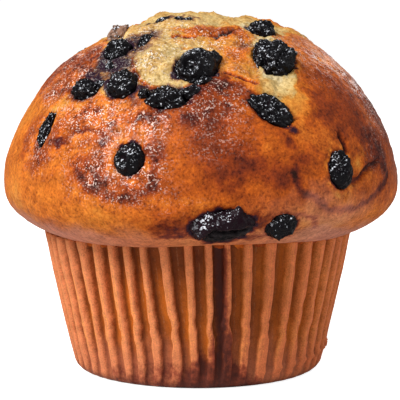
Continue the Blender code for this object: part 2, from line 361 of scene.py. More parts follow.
def amount_setting(name, description, value, **limits):
    """A plain amount, never below zero."""
    return bpy.props.FloatProperty(
        name=name, description=description, default=value, min=0.0, **limits
    )


class CrustSettings(bpy.types.PropertyGroup):
    """The cap's form, baking and colours."""
    radius: length_setting("Cap Radius", "Half the cap's width at its widest ring", 0.0441)
    rise: length_setting("Cap Rise", "Height of the cap's top above its widest ring", 0.0364)
    drop: length_setting("Cap Drop", "Reach of the cap's underside below that ring", 0.0157)
    centre: bpy.props.FloatVectorProperty(
        name="Cap Centre",
        description="Middle of the cap's widest ring",
        default=(0.00045, 0.0, 0.0418),
        subtype="XYZ",
        unit="LENGTH",
    )
    columns: count_setting("Columns", "Points round the cap, a multiple of eight", 640, 160)
    rows: count_setting("Rows", "Rows of points from the lip to the crown", 104, 20)
    browning: amount_setting(
        "Browning", "How far the side is baked, from pale to burnt", 0.46, max=1.0,
        subtype="FACTOR",
    )
    relief: amount_setting("Relief", "How strongly lumps and cracks stand out", 1.0, max=2.0)
    juice_colour: colour_setting("Juice Colour", "Soaked crumb", (0.024, 0.008, 0.018))
    lip_colour: colour_setting("Lip Colour", "Steamed crust under the cap", (0.50, 0.215, 0.160))


class CaseSettings(bpy.types.PropertyGroup):
    """The paper case's sizes and colours."""
    pleats: count_setting("Pleats", "Number of pleats round the case", 48, 12)
    base_radius: length_setting("Base Radius", "Radius of the flat base", 0.025)
    corner_radius: length_setting("Corner Radius", "Radius just above the corner", 0.0275)
    corner_height: length_setting("Corner Height", "Height of the rounded corner", 0.0026)
    rim_radius: length_setting("Rim Radius", "Middle radius of the pleats at the rim", 0.033)
    rim_height: length_setting("Rim Height", "Height of the rim", 0.0309)
    pleat_depth: length_setting("Pleat Depth", "From valley to ridge at the rim", 0.0022)
    paper: length_setting("Paper Thickness", "Thickness of the paper", 0.00016)
    ridge_colour: colour_setting("Ridge Colour", "Dry paper on ridges", (0.72, 0.235, 0.092))
    # Amber is painted light: the lit side of each valley.
    amber_colour: colour_setting("Amber Colour", "Soaked, lit paper", (0.66, 0.165, 0.012))
    # The valley colour is soaked paper, also darkened as painted shade in the valleys.
    valley_colour: colour_setting("Valley Colour", "Soaked paper", (0.150, 0.031, 0.005))


class BerrySettings(bpy.types.PropertyGroup):
    """The berries' points and colours."""
    rows: count_setting("Rows", "Rings of points from a berry's crown to its stalk", 58, 12)
    columns: count_setting("Columns", "Points round a berry", 92, 12)
    skin_colour: colour_setting("Skin Colour", "Baked skin", (0.0036, 0.0030, 0.0042))
    bloom_colour: colour_setting("Bloom Colour", "Dusty bloom", (0.0085, 0.0080, 0.0120))


class StageSettings(bpy.types.PropertyGroup):
    """The floor, the lights and the camera."""
    floor_colour: colour_setting("Floor Colour", "Colour of the floor", (0.74, 0.73, 0.72))
    floor_glow: amount_setting("Floor Glow", "Extra white the camera sees in the floor", 0.86)
    key_power: power_setting("Key Light", "Large soft light at the upper left", 12.5)
    fill_power: power_setting("Fill Light", "Soft light at the right", 2.6)
    rim_power: power_setting("Rim Light", "Light behind the muffin at the right", 0.6)
    surround: amount_setting("Surround", "Brightness of the white room", 0.24)
    camera_height: length_setting("Camera Height", "Height above the floor", 0.084)
    camera_distance: length_setting("Camera Distance", "From camera to muffin's axis", 0.4)


# ---------------------------------------------------------------- fields on the cap


def rise(low, high, value):
    """A smooth step from 0 at low to 1 at high; low may be the larger one."""
    share = np.clip((value - low) / (high - low), 0.0, 1.0)
    return share * share * (3.0 - 2.0 * share)


def bell(value, middle, width):
    """A smooth hump of height 1 round a middle value."""
    return np.exp(-(((value - middle) / width) ** 2))


def lumps(points, size, octaves=3, seed=0):
    """Smooth random values of about -1 to 1, with lumps of one size in mm."""
    shift = np.array((12.9, 78.2, 37.7)) * (seed + 1)
    scaled = (points / size + shift).tolist()
    return 1.5 * np.array([noise.fractal(p, 1.0, 2.0, octaves) for p in scaled])


def cell_distances(points, size, seed=0):
    """For each point the distance to its nearest random seed, in cells, and that seed's chance."""
    shift = np.array((3.1, 7.7, 5.3)) * (seed + 1)
    found = [noise.voronoi(p) for p in (points / size + shift).tolist()]
    near = np.array([distances[0] for distances, _ in found])
    chance = np.array([noise.cell(places[0] * 7.3) for _, places in found])
    return near, chance


def unit(azimuth, latitude):
    """Unit directions at places on the cap, in degrees."""
    a, b = np.radians(azimuth), np.radians(latitude)
    level = np.broadcast_to(np.sin(b), np.shape(np.cos(a) * np.cos(b)))
    return np.stack((np.sin(a) * np.cos(b), -np.cos(a) * np.cos(b), level), -1)


def cap_centre():
    """The middle of the cap's widest ring, in mm."""
    return np.array(bpy.context.scene.muffin_crust.centre) / MM


def front_lift(azimuth):
    """How much higher the rim and the lip over it sit at an azimuth, in mm."""
    middle, spread, lift = FRONT_LIFT
    apart = (azimuth - middle + 180.0) % 360.0 - 180.0
    return lift * bell(apart, 0.0, spread)


def cap_surface(direction):
    """Points of the cap's bare form along unit directions from its centre."""
    crust = bpy.context.scene.muffin_crust
    level = direction[..., 2]
    flat = np.sqrt(np.clip(1.0 - level**2, 0.0, 1.0))
    tall = np.where(level > 0, crust.rise, crust.drop) / MM
    power = np.where(level > 0, DOME_POWER, UNDER_POWER)
    across = (flat * MM / crust.radius) ** power
    along = (np.abs(level) / tall) ** power
    reach = (across + along) ** (-1.0 / power)
    azimuth = np.arctan2(direction[..., 0], -direction[..., 1])
    for count, size, phase in ROUND_WAVES:
        reach = reach + size * np.cos(count * azimuth + math.radians(phase)) * flat
    for lump_azimuth, lump_latitude, spread, lift in LUMPS.values():
        nearness = direction @ unit(lump_azimuth, lump_latitude)
        apart = np.degrees(np.arccos(np.clip(nearness, -1.0, 1.0)))
        reach = reach + lift * bell(apart, 0.0, spread)
    points = cap_centre() + direction * reach[..., None]
    low = np.clip(np.degrees(np.arcsin(np.clip(level, -1, 1))) / LIP_LATITUDE, 0.0, 1.0)
    points[..., 2] += front_lift(np.degrees(azimuth)) * low**2
    return points


def seat_axes(azimuth, latitude, step=1.0):
    """The point of the cap at a place, and its east, north and outward axes as rows."""
    middle = cap_surface(unit(azimuth, latitude))
    ahead, behind = (cap_surface(unit(azimuth + s, latitude)) for s in (step, -step))
    above, below = (cap_surface(unit(azimuth, latitude + s)) for s in (step, -step))
    out = np.cross(ahead - behind, above - below)
    out /= np.linalg.norm(out)
    a = math.radians(azimuth)
    east = np.array((math.cos(a), math.sin(a), 0.0))
    east -= out * (east @ out)
    east /= np.linalg.norm(east)
    return middle, np.array((east, np.cross(out, east), out))


def spot(points, azimuth, latitude, across, up, turn=0.0, edge=0.35):
    """1 inside an oval patch on the cap and 0 outside it."""
    middle, axes = seat_axes(azimuth, latitude)
    east, north, out = ((points - middle) @ axes.T).T
    a = math.radians(turn)
    u = east * math.cos(a) + north * math.sin(a)
    v = north * math.cos(a) - east * math.sin(a)
    far = np.sqrt((u / across) ** 2 + (v / up) ** 2 + (out / (across + up)) ** 2)
    return rise(1.0 + edge, 1.0 - edge, far)


def stroke(points, path, width, core=0.25):
    """1 on a line drawn over the cap through a path of azimuths and latitudes."""
    corners = [cap_surface(unit(*place)) for place in path]
    nearest = np.full(len(points), np.inf)
    for start, end in zip(corners, corners[1:]):
        along = end - start
        share = np.clip((points - start) @ along / (along @ along), 0.0, 1.0)
        gap = np.linalg.norm(points - start - share[:, None] * along, axis=1)
        nearest = np.minimum(nearest, gap)
    return rise(width, width * core, nearest)


# ---------------------------------------------------------------- the berries' seats


def berry_seat(node):
    """Where a berry lies, measured on its CAD solid."""
    low, high = (np.array(corner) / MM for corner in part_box(node))
    middle = (low + high) / 2
    outward = middle - cap_centre()
    outward /= np.linalg.norm(outward)
    azimuth = math.degrees(math.atan2(outward[0], -outward[1]))
    latitude = math.degrees(math.asin(outward[2]))
    surface, axes = seat_axes(azimuth, latitude)
    corners = np.array([v.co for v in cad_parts[node].data.vertices]) / MM
    half = np.abs((corners - middle) @ axes.T).max(0)
    buried = float(np.clip((surface - middle) @ axes[2] / half[2], -0.6, 0.9))
    return {
        "node": node,
        "middle": middle,
        "axes": axes,
        "half": half,
        "shown": half[:2] * math.sqrt(1.0 - buried**2),
        "looks": BERRY_LOOKS.get(node, BACK_LOOKS),
    }


def slant_matrix(slant, stretch, inverse=False):
    """Lengthens along a slanting direction of the crust and narrows across it."""
    c, s = math.cos(math.radians(slant)), math.sin(math.radians(slant))
    turn = np.array(((c, -s), (s, c)))
    longer = 1.0 / stretch if inverse else stretch
    return turn @ np.diag((longer, 1.0 / longer)) @ turn.T


def berry_seats():
    """The seats of all berries, in the order of their names."""
    return [berry_seat(n) for n in sorted(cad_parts) if n.startswith("berry_")]


# ---------------------------------------------------------------- the crust


def crust_grid(columns, rows):
    """Unit directions over the cap, and its faces: rings up to the crown, then a patch."""
    step = 360.0 / columns
    side = [
        unit(np.arange(columns) * step, latitude)
        for latitude in np.linspace(LIP_LATITUDE, CROWN_LATITUDE, rows + 1)
    ]
    reach = columns // 8
    index = np.arange(-reach, reach + 1)
    i, j = (part.ravel() for part in np.meshgrid(index, index, indexing="ij"))
    ring = np.maximum(np.abs(i), np.abs(j))
    safe = np.maximum(ring, 1)
    bearing = np.where(
        np.abs(i) >= np.abs(j),
        np.where(i >= 0, 45.0 * j / safe, 180.0 + 45.0 * -j / safe),
        np.where(j >= 0, 90.0 - 45.0 * i / safe, 270.0 + 45.0 * i / safe),
    )
    patch = unit(bearing, 90.0 - (90.0 - CROWN_LATITUDE) * ring / reach)
    inner = ring < reach
    places = np.empty(len(i), int)
    places[inner] = columns * (rows + 1) + np.arange(inner.sum())
    rim = np.round(bearing[~inner] / step).astype(int) % columns
    places[~inner] = columns * rows + rim
    directions = np.concatenate((*side, patch[inner]))

    column = np.arange(columns)
    after = (column + 1) % columns
    faces = []
    for row in range(rows):
        low, high = row * columns, (row + 1) * columns
        faces.append(np.stack((low + column, low + after, high + after, high + column), 1))
    square = places.reshape(2 * reach + 1, 2 * reach + 1)
    faces.append(
        np.stack((square[:-1, :-1], square[1:, :-1], square[1:, 1:], square[:-1, 1:]), -1)
        .reshape(-1, 4)
    )
    return directions, np.concatenate(faces)


def add_plug(points, faces, columns):
    """Carries the lip's ring down inside the case and closes it at the base."""
    lip = points[:columns]
    flat = np.array((1.0, 1.0, 0.0))
    start = len(points)
    rings = []
    lifted = front_lift(np.degrees(np.arctan2(lip[:, 0], -lip[:, 1])))
    for radius, height in PLUG_RINGS:
        spread = radius / np.linalg.norm(lip * flat, axis=1)[:, None]
        ring = lip * flat * spread
        ring[:, 2] = height + lifted * (height > 20)
        rings.append(ring)
    column = np.arange(columns)
    after = (column + 1) % columns
    above = column
    for number in range(len(rings)):
        below = start + number * columns + column
        faces.append(np.stack((below, below[after], above[after], above), 1))
        above = below
    return np.concatenate((points, *rings)), np.concatenate(faces), above[::-1].tolist()


def normals_of(points, faces):
    """The outward normal at each point of a mesh."""
    mesh = bpy.data.meshes.new("measure")
    mesh.from_pydata(points.tolist(), [], np.asarray(faces, object).tolist())
    normals = np.empty(len(points) * 3, np.float32)
    mesh.vertex_normals.foreach_get("vector", normals)
    bpy.data.meshes.remove(mesh)
    return normals.reshape(-1, 3).astype(float)


def turned_to(normals, side):
    """1 where a normal points straight at a side, and less the further it turns away."""
    return normals @ (np.array(side) / np.linalg.norm(side))


def strongest(points, patches):
    """The strongest patch at each point; a patch's last number is its strength."""
    shares = [patch[5] * spot(points, *patch[:5], edge=0.6) for patch in patches.values()]
    return np.maximum.reduce(shares)


def draw_lines(points, ragged, drift, height, bake, juice):
    """Burns the cracks and the syrup rims into the crust's height and masks."""
    for path, width, depth, burnt in CRACKS:
        line = stroke(points + 0.35 * ragged, path, width)
        height -= depth * line
        bake = np.maximum(bake, line * burnt)
    for path, width, browner, soaked in RIMS:
        line = stroke(points + 0.35 * ragged + 0.35 * drift, path, width, 0.1)
        bake = bake + browner * line
        juice = np.maximum(juice, soaked * line)
        height -= 0.12 * line
    return height, bake, juice


def press_seats(points, seats, ragged, drift, crumbly, height, bake, juice):
    """Presses each berry's seat into the crust and lets its juice bleed round it."""
    for seat in seats:
        bleed, collar, pit = seat["looks"][3:6]
        local = (points - seat["middle"]) @ seat["axes"].T
        flat = local[:, :2] @ slant_matrix(*seat["looks"][6:], inverse=True).T
        around = np.hypot(flat[:, 0] / seat["shown"][0], flat[:, 1] / seat["shown"][1])
        size = seat["shown"].mean()
        here = (np.linalg.norm(local, axis=1) < 4.0 * size) & (local[:, 2] > -2.0)
        around = np.where(here, around + 0.10 * ragged[:, 2], 99.0)
        gap = (around - 1.0) * size
        height -= SEAT_DEPTH * rise(0.05, -0.9, gap)
        height -= GROOVE_DEPTH * bell(gap, 0.05, 0.28)
        height += collar * bell(gap, 0.85, 0.55)
        height -= pit * rise(2.2, 0.0, gap)
        soaked = gap + 0.7 * ragged[:, 0] + 0.5 * drift[:, 2]
        stain = 0.95 * rise(0.35 + 0.8 * bleed, -0.1, soaked)
        stain += bleed * rise(0.9 + 2.6 * bleed, 0.1, soaked)
        juice = np.maximum(juice, np.clip(stain, 0.0, 1.0))
        bake -= 0.20 * (bleed < 0.3) * bell(gap, 1.2, 0.8) * rise(-0.4, 0.4, ragged[:, 1])
        bake = bake + 0.10 * rise(1.8, 0.4, gap) * (1.0 - crumbly)
    return height, bake, juice


def crust_fields(points, directions, seats):
    """Height over the bare form in mm, and the masks that colour the crust."""
    azimuth = np.degrees(np.arctan2(directions[:, 0], -directions[:, 1]))
    latitude = np.degrees(np.arcsin(np.clip(directions[:, 2], -1, 1)))
    drift = np.stack([lumps(points, 7.0, 2, seed) for seed in (1, 2, 3)], 1)
    ragged = np.stack([lumps(points, 1.9, 2, seed) for seed in (4, 5, 6)], 1)
    grains = np.stack([lumps(points, 0.9, 1, seed) for seed in (13, 14, 15)], 1)
    warped = points + 1.5 * drift + 0.9 * ragged + 0.35 * grains

    edge = np.interp(azimuth, *np.array(CROWN_EDGE, float).T)
    crumbly = rise(-1.6, 2.2, latitude - edge + 2.2 * drift[:, 0] + 1.6 * ragged[:, 1])
    streak = spot(warped, 31, 27, 4, 6, -8, edge=0.8)
    crumbly = np.maximum(crumbly, 0.70 * streak)

    broad = lumps(points, 15.0, 2, 7)
    knobs = lumps(points, 5.0, 3, 8)
    grit = lumps(points, 1.3, 2, 9)
    grain = grains[:, 0]
    blisters = lumps(points, 2.6, 2, 12)
    near, chance = cell_distances(points, 3.4, 11)
    pores = rise(0.13, 0.04, near) * (chance > 0.15)

    wet = np.clip(strongest(warped, GLAZE) * (0.85 + 0.45 * drift[:, 1]), 0.0, 1.0)

    crust = bpy.context.scene.muffin_crust
    height = 0.30 * broad + 0.05 * grit + 0.03 * grain
    flaky = spot(warped, *FLAKY)
    height += crumbly * (0.70 * knobs + 0.12 * grit + 0.04 * grain)
    height += wet * (1.0 - crumbly) * (0.26 * blisters + 0.09 * grit)
    height += flaky * (0.45 * np.abs(blisters) - 0.15 + 0.10 * grit)
    height -= PORE_DEPTH * pores

    bake = crust.browning + 0.05 * broad + 0.03 * drift[:, 2] + 0.03 * grit
    bake += wet * (0.14 + 0.16 * blisters) + flaky * 0.14 * blisters
    middle = rise(-30, 4, azimuth) * rise(150, 90, azimuth)
    bake += 0.17 * middle * rise(40, 20, latitude) * rise(-11, 2, latitude)
    for patch in BROWNING.values():
        bake = bake + 0.8 * patch[5] * spot(warped, *patch[:5], edge=0.6)
    bake = np.maximum(bake, 0.34)
    top = 0.17 + 0.04 * knobs + 0.025 * grit
    for patch in CROWN_BROWNING.values():
        top = top + patch[5] * spot(warped, *patch[:5], edge=0.5)
    bake = bake + (top - bake) * crumbly

    juice = strongest(warped, STAINS) * (0.85 + 0.35 * ragged[:, 0])

    height, bake, juice = draw_lines(points, ragged, drift, height, bake, juice)
    height, bake, juice = press_seats(
        points, seats, ragged, drift, crumbly, height, bake, juice
    )

    lip = rise(-5.0, -13.0, latitude + 2.2 * drift[:, 0] + 0.8 * ragged[:, 1])
    lip *= 0.45 + 0.55 * rise(8, 45, np.abs(azimuth))
    lip = np.maximum(lip, 0.6 * spot(warped, *STEAMED, edge=0.8))
    height *= 1.0 - 0.6 * rise(-12.0, -17.5, latitude)
    height *= crust.relief
    marks = {
        "bake": bake + 0.08 * pores,
        "juice": juice,
        "wet": wet,
        # Where painted glints may go: the glaze, less where juice soaks it.
        "glint": wet * (1.0 - 0.35 * juice),
        "lip": lip,
        "crumbly": crumbly,
    }
    return height, {name: np.clip(mark, 0.0, 1.15) for name, mark in marks.items()}


def mark_mesh(mesh, marks):
    """Stores each mask as a point attribute of the mesh."""
    for name, values in marks.items():
        layer = mesh.attributes.new(name, "FLOAT", "POINT")
        layer.data.foreach_set("value", np.asarray(values, np.float32))


def mesh_object(name, points, faces, material, marks):
    """A smooth mesh object at the origin, from points in mm."""
    mesh = bpy.data.meshes.new(name)
    mesh.from_pydata((np.asarray(points) * MM).tolist(), [], faces)
    mark_mesh(mesh, marks)
    mesh.shade_smooth()
    mesh.materials.append(material)
    obj = bpy.data.objects.new(name, mesh)
    bpy.context.scene.collection.objects.link(obj)
    return obj


def build_crust():
    """The crust over the plug, with its relief and its masks."""
    crust = bpy.context.scene.muffin_crust
    directions, faces = crust_grid(crust.columns, crust.rows)
    points = cap_surface(directions)
    height, marks = crust_fields(points, directions, berry_seats())
    points = points + normals_of(points, faces) * height[:, None]
    # Painted glints: the glint mask is kept on sides turned to GLINT_SIDE or BACK_GLINT_SIDE, in
    # clumps.
    facing = normals_of(points, faces)
    lit = np.maximum(turned_to(facing, GLINT_SIDE), turned_to(facing, BACK_GLINT_SIDE))
    clumps = lumps(points, 1.7, 2, 16)
    marks["glint"] = marks["glint"] * rise(0.45, 0.95, lit + 0.12 * clumps) * (
        0.40 + 0.60 * rise(-0.45, 0.25, clumps))
    points, faces, bottom = add_plug(points, [faces], crust.columns)
    extra = len(points) - len(directions)
    tail = {"bake": 0.5, "juice": 0.0, "wet": 0.0, "glint": 0.0, "lip": 1.0, "crumbly": 0.0}
    marks = {n: np.concatenate((m, np.full(extra, tail[n]))) for n, m in marks.items()}
    return mesh_object(
        "crumb_crust", points, [*faces.tolist(), bottom], crust_material(), marks
    )


# ---------------------------------------------------------------- the berries


def berry_directions(rows, columns):
    """Unit directions over a berry from its crown to its stalk, and its faces."""
    polar = np.linspace(0.0, 180.0, rows + 1)[1:-1]
    turn = np.arange(columns) * 360.0 / columns
    rings = [unit(turn, 90.0 - angle) for angle in polar]
    directions = np.concatenate((*rings, [[0, 0, 1.0]], [[0, 0, -1.0]]))
    crown, stalk = len(directions) - 2, len(directions) - 1
    faces = []
    for row in range(len(rings) - 1):
        for column in range(columns):
            after = (column + 1) % columns
            upper, lower = row * columns, (row + 1) * columns
            faces.append((lower + column, lower + after, upper + after, upper + column))
    last = (len(rings) - 1) * columns
    for column in range(columns):
        after = (column + 1) % columns
        faces.append((column, after, crown))
        faces.append((last + after, last + column, stalk))
    return directions, faces


def berry_form(directions, seed, wrinkle):
    """How far a round berry's skin reaches along each direction, and its crown's mask."""
    polar = np.degrees(np.arccos(np.clip(directions[:, 2], -1, 1)))
    turn = np.arctan2(directions[:, 1], directions[:, 0])
    folds = 1.0 - 2.0 * np.abs(lumps(directions, 0.42, 3, seed))
    swell = lumps(directions, 0.9, 2, seed + 31)
    near, _ = cell_distances(directions, 0.42, seed + 11)
    creases = 1.0 - 2.0 * np.abs(lumps(directions, 0.20, 2, seed + 57))
    points_up = 0.5 + 0.5 * np.cos(5.0 * turn + seed)
    rim = bell(polar, CALYX_RIM + 3.0 * points_up, 5.5)
    crater = rise(CALYX_RIM, CALYX_RIM - 11.0, polar)
    nub = bell(polar, 0.0, 7.0)
    reach = 1.0 + 0.6 * wrinkle * folds + 0.9 * wrinkle * swell
    reach += (0.010 + 0.20 * wrinkle) * creases + (0.010 + 0.06 * wrinkle) * (0.9 - 2.0 * near)
    rings = np.cos(np.radians(30.0 * polar)) * rise(CALYX_RIM + 6.0, CALYX_RIM - 4.0, polar)
    reach += 0.035 * rings + rim * (0.05 + 0.06 * points_up) - 0.26 * crater + 0.10 * nub
    crown = np.clip(rim + crater, 0.0, 1.0)
    return reach, crown


def build_berry(seat, number, material):
    """One berry in its seat, leaning and wrinkled by its looks."""
    berries = bpy.context.scene.muffin_berries
    lean, turn, wrinkle = seat["looks"][:3]
    directions, faces = berry_directions(berries.rows, berries.columns)
    reach, crown = berry_form(directions, number * 3, wrinkle)
    swing = Matrix.Rotation(math.radians(turn), 3, "Z")
    tip = np.array(swing @ Matrix.Rotation(math.radians(lean), 3, "Y"))
    placed = (directions * reach[:, None]) @ tip.T * seat["half"]
    placed[:, :2] = placed[:, :2] @ slant_matrix(*seat["looks"][6:]).T
    pulp = np.zeros(len(placed))
    if seat["node"] in FLESHY:
        placed, pulp = tear(placed, seat["half"])
    points = seat["middle"] + placed @ seat["axes"]
    plum = float(seat["node"] in FLESHY) * (1.0 - pulp) * 0.7
    marks = skin_marks(points, faces, number)
    marks["crown"] = crown * (pulp < 0.5)
    marks["pulp"] = pulp
    marks["plum"] = plum
    # The split berry gets a broad painted highlight on its dome's upper left, and no painted
    # glints on its pulp.
    if seat["node"] in FLESHY:
        across = placed[:, 0] / seat["half"][0]
        upper = rise(-0.25, 0.25, placed[:, 1] / seat["half"][1])
        marks["painted_shine"] = upper * (1.0 - pulp) * bell(across, -0.50, 0.22)
        marks["glint"] *= (1.0 - pulp) * rise(0.9, 0.0, across)
    if seat["node"] in VEILED:
        marks["veil"] = rise(1.5, 0.2, fine_noise(points) + 0.25 * placed[:, 2])
    name = seat["node"].replace("berry", "blueberry")
    return mesh_object(name, points, faces, material, marks)


def skin_marks(points, faces, seed):
    """The masks every piece of berry skin carries."""
    facing = turned_to(normals_of(points, faces), GLINT_SIDE)
    bloom = 0.5 + 0.5 * lumps(points, 3.2, 2, seed)
    flat = np.zeros(len(points))
    return {
        "crown": flat,
        "bloom": np.clip(bloom, 0, 1),
        # Painted glints on the skin turned towards GLINT_SIDE.
        "glint": rise(0.58, 1.0, facing + 0.28 * fine_noise(points)),
        "veil": flat,
        "pulp": flat,
        "plum": flat,
        "painted_shine": flat,
    }


def build_fragments(material):
    """Scraps of berry skin lying between the berries."""
    directions, faces = berry_directions(22, 34)
    shapes, loops = [], []
    for number, (azimuth, latitude, *half, proud, slant) in enumerate(FRAGMENTS):
        middle, axes = seat_axes(azimuth, latitude)
        reach = 1.0 + 0.22 * lumps(directions, 0.6, 3, number + 200)
        placed = directions * reach[:, None] * np.array(half)
        c, s = math.cos(math.radians(slant)), math.sin(math.radians(slant))
        turned = placed @ np.array(((c, s, 0), (-s, c, 0), (0, 0, 1)))
        shapes.append(middle + turned @ axes + axes[2] * (proud - half[2]))
        loops += [tuple(corner + number * len(directions) for corner in f) for f in faces]
    points = np.concatenate(shapes)
    marks = skin_marks(points, loops, 300)
    return mesh_object("blueberry_scraps", points, loops, material, marks)


def fine_noise(points):
    """Small random values for the berries' skin."""
    return lumps(points, 1.1, 2, 77)


def tear(points, half):
    """Splits a berry's skin under its dome and crumples the pulp below the split."""
    east, north, out = points.T
    across = east / half[0]
    split = north + 1.4 * half[1] * rise(-0.25, -0.95, across)
    pulp = rise(0.25, -0.35, split)
    rough = lumps(points, 1.2, 3, 91)
    outer = out > 0
    lifted = out - 1.3 * outer * bell(split, 0.0, 0.45) * rise(0.75, 0.4, np.abs(across - 0.1))
    lifted += outer * (1.0 - pulp) * 0.7 * bell(split, 1.8, 1.4)
    lifted += outer * pulp * (0.45 * rough - 0.2)
    return np.stack((east, north + 0.3 * pulp * rough, lifted), 1), pulp


# ---------------------------------------------------------------- node helpers


class Wire:
    """A node's output. Arithmetic with a wire places a Math node in its tree."""

    def __init__(self, socket):
        self.socket = socket
        self.tree = socket.id_data

    def __add__(self, other):
        return calc(self.tree, "ADD", self, other)

    def __sub__(self, other):
        return calc(self.tree, "SUBTRACT", self, other)

    def __rsub__(self, other):
        return calc(self.tree, "SUBTRACT", other, self)

    def __mul__(self, other):
        return calc(self.tree, "MULTIPLY", self, other)

    def __truediv__(self, other):
        return calc(self.tree, "DIVIDE", self, other)

    def __rtruediv__(self, other):
        return calc(self.tree, "DIVIDE", other, self)


def join(value, socket):
    """Links a wire to an input socket, or sets the socket to a plain value."""
    if isinstance(value, Wire):
        socket.id_data.links.new(value.socket, socket)
    else:
        socket.default_value = value


def feed(node, **values):
    """Fills inputs of a node by name; underscores stand for spaces."""
    for name, value in values.items():
        join(value, node.inputs[name.replace("_", " ")])


def place(tree, kind, inputs=(), output=0, **settings):
    """Adds a node, fills its inputs by number or name, and returns one output."""
    node = tree.nodes.new(kind)
    for key, value in settings.items():
        setattr(node, key, value)
    pairs = inputs.items() if isinstance(inputs, dict) else enumerate(inputs)
    for slot, value in pairs:
        join(value, node.inputs[slot])
    return Wire(node.outputs[output])


def calc(tree, operation, *values):
    """One Math node."""
    return place(tree, "ShaderNodeMath", values, operation=operation)


def span(tree, value, low, high, to_low=0.0, to_high=1.0, smooth=True):
    """Maps a value from one span to another, held at both ends."""
    kind = "SMOOTHSTEP" if smooth else "LINEAR"
    values = (value, low, high, to_low, to_high)
    return place(tree, "ShaderNodeMapRange", values, interpolation_type=kind)


def blend(tree, amount, first, second, mode="MIX"):
    """Mixes two colours."""
    values = {0: amount, 6: first, 7: second}
    return place(
        tree, "ShaderNodeMix", values, 2, data_type="RGBA", blend_type=mode, clamp_factor=True
    )


def mottle(tree, where, size, detail=2.0, roughness=0.55, warp=0.0):
    """Random values with features of one size, in metres."""
    values = {"Vector": where, "Scale": 1.0 / size, "Detail": detail}
    values.update({"Roughness": roughness, "Distortion": warp})
    return place(tree, "ShaderNodeTexNoise", values)


def attribute(tree, name):
    """Reads a mask stored on the mesh."""
    node = tree.nodes.new("ShaderNodeAttribute")
    node.attribute_name = name
    return Wire(node.outputs["Fac"])


def colour_ramp(tree, value, stops):
    """A colour by value, from stops of position and colour."""
    node = tree.nodes.new("ShaderNodeValToRGB")
    elements = node.color_ramp.elements
    while len(elements) < len(stops):
        elements.new(1.0)
    for element, (position, colour) in zip(elements, stops):
        element.position = position
        element.color = (*colour, 1.0)
    join(value, node.inputs["Fac"])
    return Wire(node.outputs["Color"])


def start_material(name):
    """A new material, its tree, its Principled shader and its Object coordinates."""
    old = bpy.data.materials.get(name)
    if old:
        bpy.data.materials.remove(old)
    material = bpy.data.materials.new(name)
    material.use_nodes = True
    tree = material.node_tree
    shader = tree.nodes["Principled BSDF"]
    where = place(tree, "ShaderNodeTexCoord", output="Object")
    return material, tree, shader, where


def shader_group(name, inputs, outputs):
    """A new shader node group with named sockets."""
    group = bpy.data.node_groups.new(name, "ShaderNodeTree")
    for label, kind, value in inputs:
        socket = group.interface.new_socket(
            label, in_out="INPUT", socket_type=f"NodeSocket{kind}"
        )
        if value is not None:
            socket.default_value = value
    for label, kind in outputs:
        group.interface.new_socket(label, in_out="OUTPUT", socket_type=f"NodeSocket{kind}")
    return group


def use_group(tree, name, **values):
    """Places a shared effect, which is built when it is first used."""
    node = tree.nodes.new("ShaderNodeGroup")
    node.node_tree = bpy.data.node_groups.get(name) or EFFECTS[name](name)
    feed(node, **values)
    return wires(node)


def wires(node):
    """All outputs of a node by name."""
    return {socket.name: Wire(socket) for socket in node.outputs}


def group_ends(group):
    """The wires that come into a group, and the sockets at its end."""
    return wires(group.nodes.new("NodeGroupInput")), group.nodes.new("NodeGroupOutput").inputs


# ---------------------------------------------------------------- shared effects


def baked_grain(name):
    """Fine tone and height of anything baked: coarse mottle and a finer speckle."""
    group = shader_group(
        name,
        (("Vector", "Vector", None), ("Size", "Float", 0.0006),
         ("Contrast", "Float", 0.2)),
        (("Tone", "Float"), ("Height", "Float")),
    )
    start, end = group_ends(group)
    scale = 1.0 / start["Size"]
    values = {"Vector": start["Vector"], "Scale": scale, "Detail": 1.5, "Roughness": 0.7}
    fine = place(group, "ShaderNodeTexNoise", values)
    values = {"Vector": start["Vector"], "Scale": scale * 0.22}
    coarse = place(group, "ShaderNodeTexNoise", {**values, "Detail": 4.0})
    pits = span(group, fine, 0.42, 0.32, 0.0, 0.13)
    centred = fine + coarse - pits - 0.98
    join(centred * start["Contrast"], end["Tone"])
    join(fine, end["Height"])
    return group


def juice_stain(name):
    """Soaks a colour with berry juice: a reddish fringe, then deep purple."""
    group = shader_group(
        name,
        (("Color", "Color", (1, 1, 1, 1)), ("Stain", "Float", 0.0),
         ("Juice", "Color", (0.05, 0.012, 0.03, 1)),
         ("Vector", "Vector", None)),
        (("Color", "Color"), ("Soaked", "Float")),
    )
    start, end = group_ends(group)
    speckle = mottle(group, start["Vector"], 0.0011, 3.0, 0.65)
    pushed = (speckle - 0.5) * 0.9 + start["Stain"]
    soaked = pushed * span(group, start["Stain"], 0.0, 0.12)
    fringe = span(group, soaked, 0.08, 0.55, 0.0, 0.8)
    deep = span(group, soaked, 0.40, 0.95)
    tinted = blend(group, fringe, start["Color"], (0.31, 0.135, 0.21, 1.0), "MULTIPLY")
    result = blend(group, deep, tinted, start["Juice"])
    join(result, end["Color"])
    join(deep, end["Soaked"])
    return group


